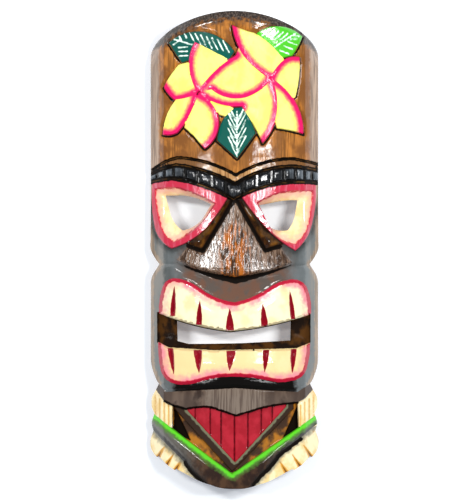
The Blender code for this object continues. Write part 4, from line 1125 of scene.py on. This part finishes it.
# %% The tree of gouge marks
SIDES = ("front", "back", "edge")
gouge = bpy.data.node_groups.new("gouge_marks", "GeometryNodeTree")
INPUTS = {"Geometry": "NodeSocketGeometry", "Depth": "NodeSocketFloat", "Stroke": "NodeSocketVector",
          "Seed": "NodeSocketFloat", **{side: "NodeSocketMaterial" for side in SIDES}}
for name, kind in INPUTS.items():
    gouge.interface.new_socket(name, in_out="INPUT", socket_type=kind)
gouge.interface.new_socket("Geometry", in_out="OUTPUT", socket_type="NodeSocketGeometry")
given = add(gouge, "NodeGroupInput").outputs
place = add(gouge, "GeometryNodeInputPosition").outputs[0]
stroke = add(gouge, "ShaderNodeVectorMath", {"operation": "DIVIDE"}, {0: place, 1: given["Stroke"]})
scoop = add(gouge, "ShaderNodeTexVoronoi", {"voronoi_dimensions": "4D"},
            {"Vector": stroke.outputs[0], "W": given["Seed"], "Scale": 1.0, "Randomness": 0.8})
where = add(gouge, "GeometryNodeInputNamedAttribute", {"data_type": "FLOAT"}, {"Name": "gouged"})
depth = add(gouge, "ShaderNodeMath", {"operation": "SUBTRACT"}, {0: scoop.outputs["Distance"], 1: 1.0})
for factor in (given["Depth"], where.outputs[0]):
    depth = add(gouge, "ShaderNodeMath", {"operation": "MULTIPLY"}, {0: depth.outputs[0], 1: factor})
normal = add(gouge, "GeometryNodeInputNormal").outputs[0]
push = add(gouge, "ShaderNodeVectorMath", {"operation": "SCALE"}, {0: normal, "Scale": depth.outputs[0]})
shape = add(gouge, "GeometryNodeSetPosition", None,
            {"Geometry": given["Geometry"], "Offset": push.outputs[0]})
shape = add(gouge, "GeometryNodeRealizeInstances", None, {"Geometry": shape.outputs[0]})
side_of = add(gouge, "GeometryNodeInputNamedAttribute", {"data_type": "INT"}, {"Name": "side"})
for index, side in enumerate(SIDES):
    chosen = add(gouge, "FunctionNodeCompare", {"data_type": "INT", "operation": "EQUAL"},
                 {2: side_of.outputs[0], 3: index}).outputs[0]
    shape = add(gouge, "GeometryNodeSetMaterial", None,
                {"Geometry": shape.outputs[0], "Selection": chosen, "Material": given[side]})
add(gouge, "NodeGroupOutput", None, {"Geometry": shape.outputs[0]})
print("gouge nodes:", len(gouge.nodes))

# %% [markdown]
# ## Stain, paint and varnish
# The front is one material. It is built up as the real one was: stain first, then flat paint, then the
# airbrush, then black line, and a coat of gloss varnish over all. Some coats also hold painted light: a
# grey sheen on the dark paint and the facets, and shadows under the flowers, under the nose and beside the
# arms.

# %% The front's tree, its grain and the painter's hand
def empty_material(name):
    """A new material and its empty tree."""
    material = bpy.data.materials.new(name)
    material.use_nodes = True
    material.node_tree.nodes.clear()
    return material, material.node_tree


def grain(tree, across, along, low=0.35, high=0.65, detail=3.0, shift=0.0):
    """Noise drawn out along the trunk, in metres: 0 below low and 1 above high."""
    place = add(tree, "ShaderNodeTexCoord").outputs["Object"]
    scaled = add(tree, "ShaderNodeMapping", None,
                 {0: place, "Location": (shift,) * 3, "Scale": (1 / across, 1 / along, 1 / across)})
    noise = add(tree, "ShaderNodeTexNoise", None,
                {"Vector": scaled.outputs[0], "Scale": 1.0, "Detail": detail})
    return add(tree, "ShaderNodeMapRange", {"interpolation_type": "SMOOTHSTEP"},
               {"Value": noise.outputs["Fac"], "From Min": low, "From Max": high}).outputs["Result"]


def paint(tree, under, over, *shares):
    """One colour over another, where all the shares agree."""
    share = shares[0]
    for other in shares[1:]:
        share = add(tree, "ShaderNodeMath", {"operation": "MULTIPLY"}, {0: share, 1: other}).outputs[0]
    colours = [linear(colour) if isinstance(colour, str) else colour for colour in (under, over)]
    return add(tree, "ShaderNodeMix", {"data_type": "RGBA"},
               {0: share, 6: colours[0], 7: colours[1]}).outputs[2]


# Light wood, stained, painted by hand and airbrushed, under brushed gloss varnish: flat bright colours with
# soft edges, grain that shows through the stain, and white glints broken up where the grain stands open
front, tree = empty_material("hand_painted_wood_under_gloss_varnish")
hand = add(tree, "ShaderNodeMath", {"operation": "SUBTRACT"},
           {0: grain(tree, 0.004, 0.004, 0.2, 0.8), 1: 0.5})


def coat(name, edge=0.0, soft=0.5, wobble=0.5, inside=1.0):
    """How far a coat covers: 1 inside its outline moved out by edge, with a hand's wobble, in units.

    With inside=0 it is the reverse: 0 inside and 1 beyond.
    """
    outside = add(tree, "ShaderNodeAttribute", {"attribute_name": name}).outputs["Fac"]
    shaken = add(tree, "ShaderNodeMath", {"operation": "MULTIPLY_ADD"},
                 {0: hand.outputs[0], 1: wobble, 2: outside}).outputs[0]
    return add(tree, "ShaderNodeMapRange", {"interpolation_type": "SMOOTHSTEP"},
               {"Value": shaken, "From Min": edge - soft / 2, "From Max": edge + soft / 2,
                "To Min": inside, "To Max": 1.0 - inside}).outputs["Result"]


def layered(colour, *layers):
    """A colour under others, each given with the shares in which it shows."""
    for over, *shares in layers:
        colour = paint(tree, colour, over, *shares)
    return colour


broad = grain(tree, 0.014, 0.07, 0.35, 0.65)
fine = grain(tree, 0.0016, 0.03, 0.42, 0.66, 4.0)
patchy = grain(tree, 0.012, 0.016, 0.42, 0.62, 4.0, 7.0)
print("front tree started:", len(tree.nodes), "nodes")

# %% Stained wood, with painted sheen on the dark paint and the facets
# Dark paint below the lid line, turning grey towards the sides: the grey is a painted sheen
dark_paint_and_painted_sheen = layered(paint(tree, "#64696A", "#505352", broad),
                (paint(tree, "#564B44", "#66493A", patchy), coat("aside", 56.0, 24.0, 6.0)))
# The facets below the lid: dark paint under a grey painted sheen, with stained wood at the very edge
lower_facet_and_painted_sheen = layered(paint(tree, "#6C7171", "#7D7972", broad),
                    (paint(tree, "#A08C78", "#7A6A5A", fine), coat("outer", 3.5, 3.0, 2.5)))
# The facets above: stained wood, lightened to a greyish tan by a painted sheen
hewn = layered(paint(tree, "#B39780", "#957C68", broad), ("#7A6452", fine))
charred = paint(tree, "#2B231E", "#5D5148", fine)
strip = layered(paint(tree, "#6E4A28", "#B88C5A", coat("aside", 95.0, 24.0, 6.0)), ("#7E542C", fine))
colour = layered(
    paint(tree, "#B87632", "#8E5A28", broad), ("#764A1E", fine), ("#7C4C20", patchy),
    (dark_paint_and_painted_sheen, coat("lid", 0.0, 5.0, 2.0)),
    (lower_facet_and_painted_sheen, coat("facet", 0.0, 5.0, 3.0), coat("lid", 10.0, 20.0, 5.0)),
    (hewn, coat("facet", -5.5, 4.0, 2.0), coat("lid", -45.0, 25.0, 5.0, inside=0.0)),
    (charred, coat("crown", 10.0, 11.0, 10.0)),
    (strip, coat("brow_strip")),
    ("#343736", coat("eye_rim", 4.0, 8.0, 2.0), coat("lid", -20.0, 20.0)),
    ("#0C0A08", coat("under_lip", 0.0, 5.0, 4.0)))
print("stains:", len(tree.nodes), "nodes")

# %% Flowers
chalky = grain(tree, 0.0022, 0.005, 0.20, 0.34, 3.0, 3.0)
airbrush = layered(paint(tree, "#FEFA84", "#FBF372", patchy), ("#F9B866", coat("crest", 7.5, 6.0, 2.0)),
                   ("#EE4A6C", coat("crest", 5.6, 4.5, 1.5)), ("#DC1A60", coat("crest", 4.0, 1.6, 1.0)))
for name, leaf in (("dark_leaf", "#0F5449"), ("light_leaf", "#4CBE26")):
    veined = paint(tree, leaf, "#E9FFF0", coat("vein", 0.7, 0.7, 0.7), chalky)
    colour = paint(tree, colour, veined, coat(name, 0.2))
colour = paint(tree, colour, airbrush, coat("petal", 0.3))
print("flowers:", len(tree.nodes), "nodes")

# %% Brow, eyes and nose
# The brow's blocks: black, and grey towards the ends, where the grey is a painted sheen
block = layered(paint(tree, "#141517", "#26282B", fine),
                (paint(tree, "#454B51", "#6E767D", fine), coat("aside", 124.0, 16.0, 6.0, inside=0.0)))
trench = paint(tree, "#2A1A0E", "#6B4518", patchy, coat("trench", -3.0, 3.0))
glow = grain(tree, 0.009, 0.06, 0.1, 0.4, 1.0, 4.0)
nose = layered(paint(tree, "#7A6250", "#A65A0E", coat("aside", 14.0, 12.0, 6.0), glow),
               ("#3A2515", grain(tree, 0.0022, 0.025, 0.40, 0.60, 4.0, 2.0)))
# Red eye rims, with paler pink streaks of painted sheen
rim = paint(tree, "#BE2C44", "#CB6074", grain(tree, 0.004, 0.02, 0.5, 0.75, 4.0, 5.0))
sill = layered(paint(tree, "#F7E0AE", "#EFCB8E", patchy),
               ("#F3B79C", coat("eye_sill", -5.5, 9.0, 5.0, inside=0.0)),
               ("#C42840", coat("eye_sill", -0.9, 1.8, 2.0, inside=0.0)))
colour = layered(colour, ("#0F0D0B", coat("band", 0.5)), (block, coat("bead", -0.4, 0.6)),
                 (trench, coat("trench", 0.5, 1.0)), (nose, coat("nose", 0.3, 1.0)),
                 (rim, coat("eye_rim", 0.2)), (sill, coat("eye_sill", 0.0, 0.6)))
print("face:", len(tree.nodes), "nodes")

# %% Mouth
inside = paint(tree, "#1E1510", "#4A2E14", patchy)
ivory = layered(paint(tree, "#F6EBC0", "#EBCE94", coat("lower_teeth", 0.0, 6.0)),
                ("#EDD49E", patchy, grain(tree, 0.03, 0.03, 0.3, 0.7)))
blush = layered(ivory, ("#F28A94", coat("gum", 8.0, 8.0, 4.0), grain(tree, 0.02, 0.02, 0.2, 0.6, 2.0, 9.0)),
                ("#AE1430", coat("gum", 3.4, 1.6, 1.2)))
colour = layered(colour, (inside, coat("mouth", 0.3)), (blush, coat("teeth", 0.4)),
                 ("#8E1020", coat("gap", 0.2, 0.6)))
print("mouth:", len(tree.nodes), "nodes")

# %% Below the jaw
chin = layered(paint(tree, "#483A32", "#655448", broad), ("#362A24", patchy, broad),
               (paint(tree, "#786A5E", "#574940", fine), coat("aside", 30.0, 12.0, 5.0)))
skin = paint(tree, "#F6E4B6", "#EBCB8C", patchy)
fingers = paint(tree, skin, "#D9AE66", coat("digit", 0.2, 1.4, 0.6))
# The toes: cream, dark lines between them, and grey next to the arms as painted shade beside their edge
toes = layered(skin, ("#D39A3A", coat("digit", 0.3, 1.2, 0.6)), ("#7C4C18", coat("digit", -1.1, 0.8, 0.4)),
               ("#7E7A68", coat("arms", 4.0, 7.0, 3.0)))
# The arms: dark brown in the middle and grey towards the sides, where the grey is a painted sheen; a dark
# edge and a green stripe along the top
sleeve = layered("#615D56", (paint(tree, "#28170E", "#4A3220", patchy), coat("aside", 48.0, 40.0, 12.0)),
                 ("#1C1712", coat("arms", 0.0, 1.0), coat("arms", -3.5, 2.5, 2.0, inside=0.0)),
                 ("#4C7A2C", coat("arm_top", 6.4, 5.0, 3.0)), ("#58C424", coat("arm_top", 3.8, 2.4, 2.0)))
sash = paint(tree, "#2E1D11", "#6B6B52", coat("shield", 2.6, 1.4, 1.5))
cloth = layered(paint(tree, "#9A1222", "#AC1E2E", patchy), ("#5A0A14", coat("pleat", 0.7, 1.0, 0.8)))
for name, over in (("feet", toes), ("recess", paint(tree, "#3E2818", "#A86A1C", patchy)),
                   ("pit", "#140E0A"), ("collar", sash), ("shield", cloth), ("chin", chin),
                   ("hands", fingers), ("arms", sleeve)):
    colour = paint(tree, colour, over, coat(name, 0.2))
print("below:", len(tree.nodes), "nodes")

# %% Black lines, painted shadows, the varnish and the finished front
# Black lines, with the painted shadows under the nose and below the flowers
colour = layered(colour, ("#15110E", coat("ink_and_painted_shadow", 0.0, 0.5, 1.0)),
                 ("#5E3F1C", coat("cut_line", 0.5, 0.7, 0.8), patchy))
BRUSH_RELIEF = 0.0002  # metres from the foot of a brush mark in the varnish to its top
GRAIN_RELIEF = 0.0003
FILLED_GRAIN = 0.04  # share of that relief that shows where the varnish fills the grain
# Grey levels for how thick the varnish is: the flowers' flat paint, the black lines and the inside of the
# mouth took less of it than the rest
petal_gloss = paint(tree, "#3A3A3A", "#A0A0A0", coat("crest", 4.0, 1.5, 1.0))
gloss = layered("#F0F0F0", ("#707070", coat("petal", 4.5, 1.5)), (petal_gloss, coat("petal", 0.3)),
                ("#808080", coat("under_lip", 2.0, 5.0)), ("#242424", coat("mouth", 0.3)),
                ("#303030", coat("pit", 0.3)), ("#606060", coat("ink_and_painted_shadow", 0.3)))
varnish = add(tree, "ShaderNodeRGBToBW", None, {0: gloss}).outputs[0]
open_grain = add(tree, "ShaderNodeAttribute", {"attribute_name": "open_grain"}).outputs["Fac"]
open_grain = add(tree, "ShaderNodeMath", {"operation": "ADD"}, {0: open_grain, 1: FILLED_GRAIN}).outputs[0]
brush_marks = grain(tree, 0.004, 0.007, 0.3, 0.7)
brushed = add(tree, "ShaderNodeBump", None,
              {"Strength": 0.2, "Distance": BRUSH_RELIEF, "Height": brush_marks}).outputs[0]
bump = add(tree, "ShaderNodeBump", None, {"Strength": open_grain, "Distance": GRAIN_RELIEF,
                                          "Height": fine, "Normal": brushed}).outputs[0]
shine = add(tree, "ShaderNodeBsdfPrincipled", None,
            {"Base Color": colour, "Roughness": 0.5, "Specular IOR Level": 0.0, "Normal": bump,
             "Coat Weight": varnish, "Coat Roughness": 0.1, "Coat Normal": bump})
add(tree, "ShaderNodeOutputMaterial", None, {"Surface": shine.outputs[0]})
print("front tree:", len(tree.nodes), "nodes")


# %% The back and the sawn edge
def bare_wood(name, light, dark, streak, roughness):
    """Wood without paint: two tones along the grain, and dark streaks in it."""
    material, tree = empty_material(name)
    streaks = grain(tree, 0.0018, 0.05, 0.45, 0.7, 4.0)
    tones = paint(tree, paint(tree, light, dark, grain(tree, 0.02, 0.15)), streak, streaks)
    bump = add(tree, "ShaderNodeBump", None,
               {"Strength": 0.4, "Distance": GRAIN_RELIEF, "Height": streaks}).outputs[0]
    wood = add(tree, "ShaderNodeBsdfPrincipled", None,
               {"Base Color": tones, "Roughness": roughness, "Normal": bump})
    add(tree, "ShaderNodeOutputMaterial", None, {"Surface": wood.outputs[0]})
    return material


# Light sapwood, dry and matt: what the gouge left in the hollow
back_wood = bare_wood("raw_gouged_sapwood", "#D3B48A", "#C09B6C", "#A37C50", 0.85)
# The same wood under brushed brown stain, satin: the sawn outer edge
edge_wood = bare_wood("brown_stained_sawn_edge", "#7A5536", "#5C3F28", "#3A2819", 0.55)
print("materials:", front.name, back_wood.name, edge_wood.name)

# %% Freeze the marks into the mesh
SHARP_ANGLE = 42  # degrees past which an edge stays a crisp knife cut
mesh.materials.append(front)
marks = mask.modifiers.new("gouge_marks", "NODES")
marks.node_group = gouge
sockets = {item.name: item.identifier for item in gouge.interface.items_tree if item.in_out == "INPUT"}
choices = {"Depth": 0.0013, "Stroke": (0.010, 0.034, 0.06), "Seed": 4.0,
           "front": front, "back": back_wood, "edge": edge_wood}
for name, value in choices.items():
    marks[sockets[name]] = value
depsgraph = bpy.context.evaluated_depsgraph_get()
frozen = bpy.data.meshes.new_from_object(mask.evaluated_get(depsgraph), preserve_all_data_layers=True,
                                         depsgraph=depsgraph)
mask.modifiers.remove(marks)
mask.data = frozen
frozen.shade_smooth()
frozen.set_sharp_from_angle(angle=math.radians(SHARP_ANGLE))
print("frozen:", len(frozen.polygons), "triangles,", [material.name for material in frozen.materials])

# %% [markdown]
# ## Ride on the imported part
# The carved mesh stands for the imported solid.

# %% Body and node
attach(mask, "root")
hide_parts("mask")
print("carved_mask rides on root")

# %% [markdown]
# ## The table, the light and the camera
# The mask lies on a white table, and the camera looks straight down at it. Four softboxes hang at the
# camera's sides, two level with the nose and two beyond the crown. Their places are worked out from the
# slopes of the carving, so that the varnish mirrors them on the nose, the brow and the leaves.

# %% Table and lights
HALF_TABLE = 2.0
TABLE_Z = -0.0006  # just under the mask, so that the two don't share a plane
floor_mesh = bpy.data.meshes.new("table_top")
corners = [(x * HALF_TABLE, y * HALF_TABLE, TABLE_Z) for x, y in ((-1, -1), (1, -1), (1, 1), (-1, 1))]
floor_mesh.from_pydata(corners, [], [(0, 1, 2, 3)])
table_top = show("table_top", floor_mesh)
# Matt white paper: no glare, and a faint bluish glow, painted light that leaves only a faint shadow round
# the mask
paper = bpy.data.materials.new("white_paper_painted_glow")
paper.use_nodes = True
for name, value in (("Base Color", linear("#FCFEFF")), ("Roughness", 0.9),
                    ("Emission Color", linear("#DCE8FF")), ("Emission Strength", 0.14)):
    paper.node_tree.nodes["Principled BSDF"].inputs[name].default_value = value
floor_mesh.materials.append(paper)
table_top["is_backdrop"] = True

# Place, size in metres and power in watts
SOFTBOXES = {"softbox_right": ((0.98, 0.10, 2.0), (0.50, 0.10), 12.0),
             "softbox_left": ((-0.95, 0.07, 2.0), (0.36, 0.08), 5.5),
             "crown_softbox_right": ((1.10, 0.46, 2.0), (0.75, 0.26), 28.0),
             "crown_softbox_left": ((-1.20, 0.64, 2.0), (0.66, 0.24), 29.0)}
for name, (place, size, power) in SOFTBOXES.items():
    light = bpy.data.lights.new(name, "AREA")
    light.shape = "RECTANGLE"
    light.size, light.size_y = size
    light.energy = power
    box = show(name, light)
    box.location = place
    box.rotation_euler = (0, math.atan2(place[0], place[2]), 0)
world = bpy.data.worlds.new("white_room")
world.use_nodes = True
world.node_tree.nodes["Background"].inputs["Color"].default_value = linear("#E9F1FA")
world.node_tree.nodes["Background"].inputs["Strength"].default_value = 0.40
bpy.context.scene.world = world
bpy.context.scene.view_settings.view_transform = "Standard"
print("softboxes:", list(SOFTBOXES))

# %% Camera
CAMERA_HEIGHT = 4.5
CAMERA_OVER = (-0.0005, -0.0003)  # the mask is half a millimetre off the photo's middle
VIEW_HEIGHT = 0.525  # metres of the table's height that the picture shows
camera_data = bpy.data.cameras.new("camera")
camera_data.angle = 2 * math.atan(VIEW_HEIGHT / 2 / (CAMERA_HEIGHT - SHOULDER_HEIGHT))
camera = show("camera", camera_data)
camera.location = (*CAMERA_OVER, CAMERA_HEIGHT)
bpy.context.scene.camera = camera
print("camera angle:", round(math.degrees(camera_data.angle), 2), "degrees")
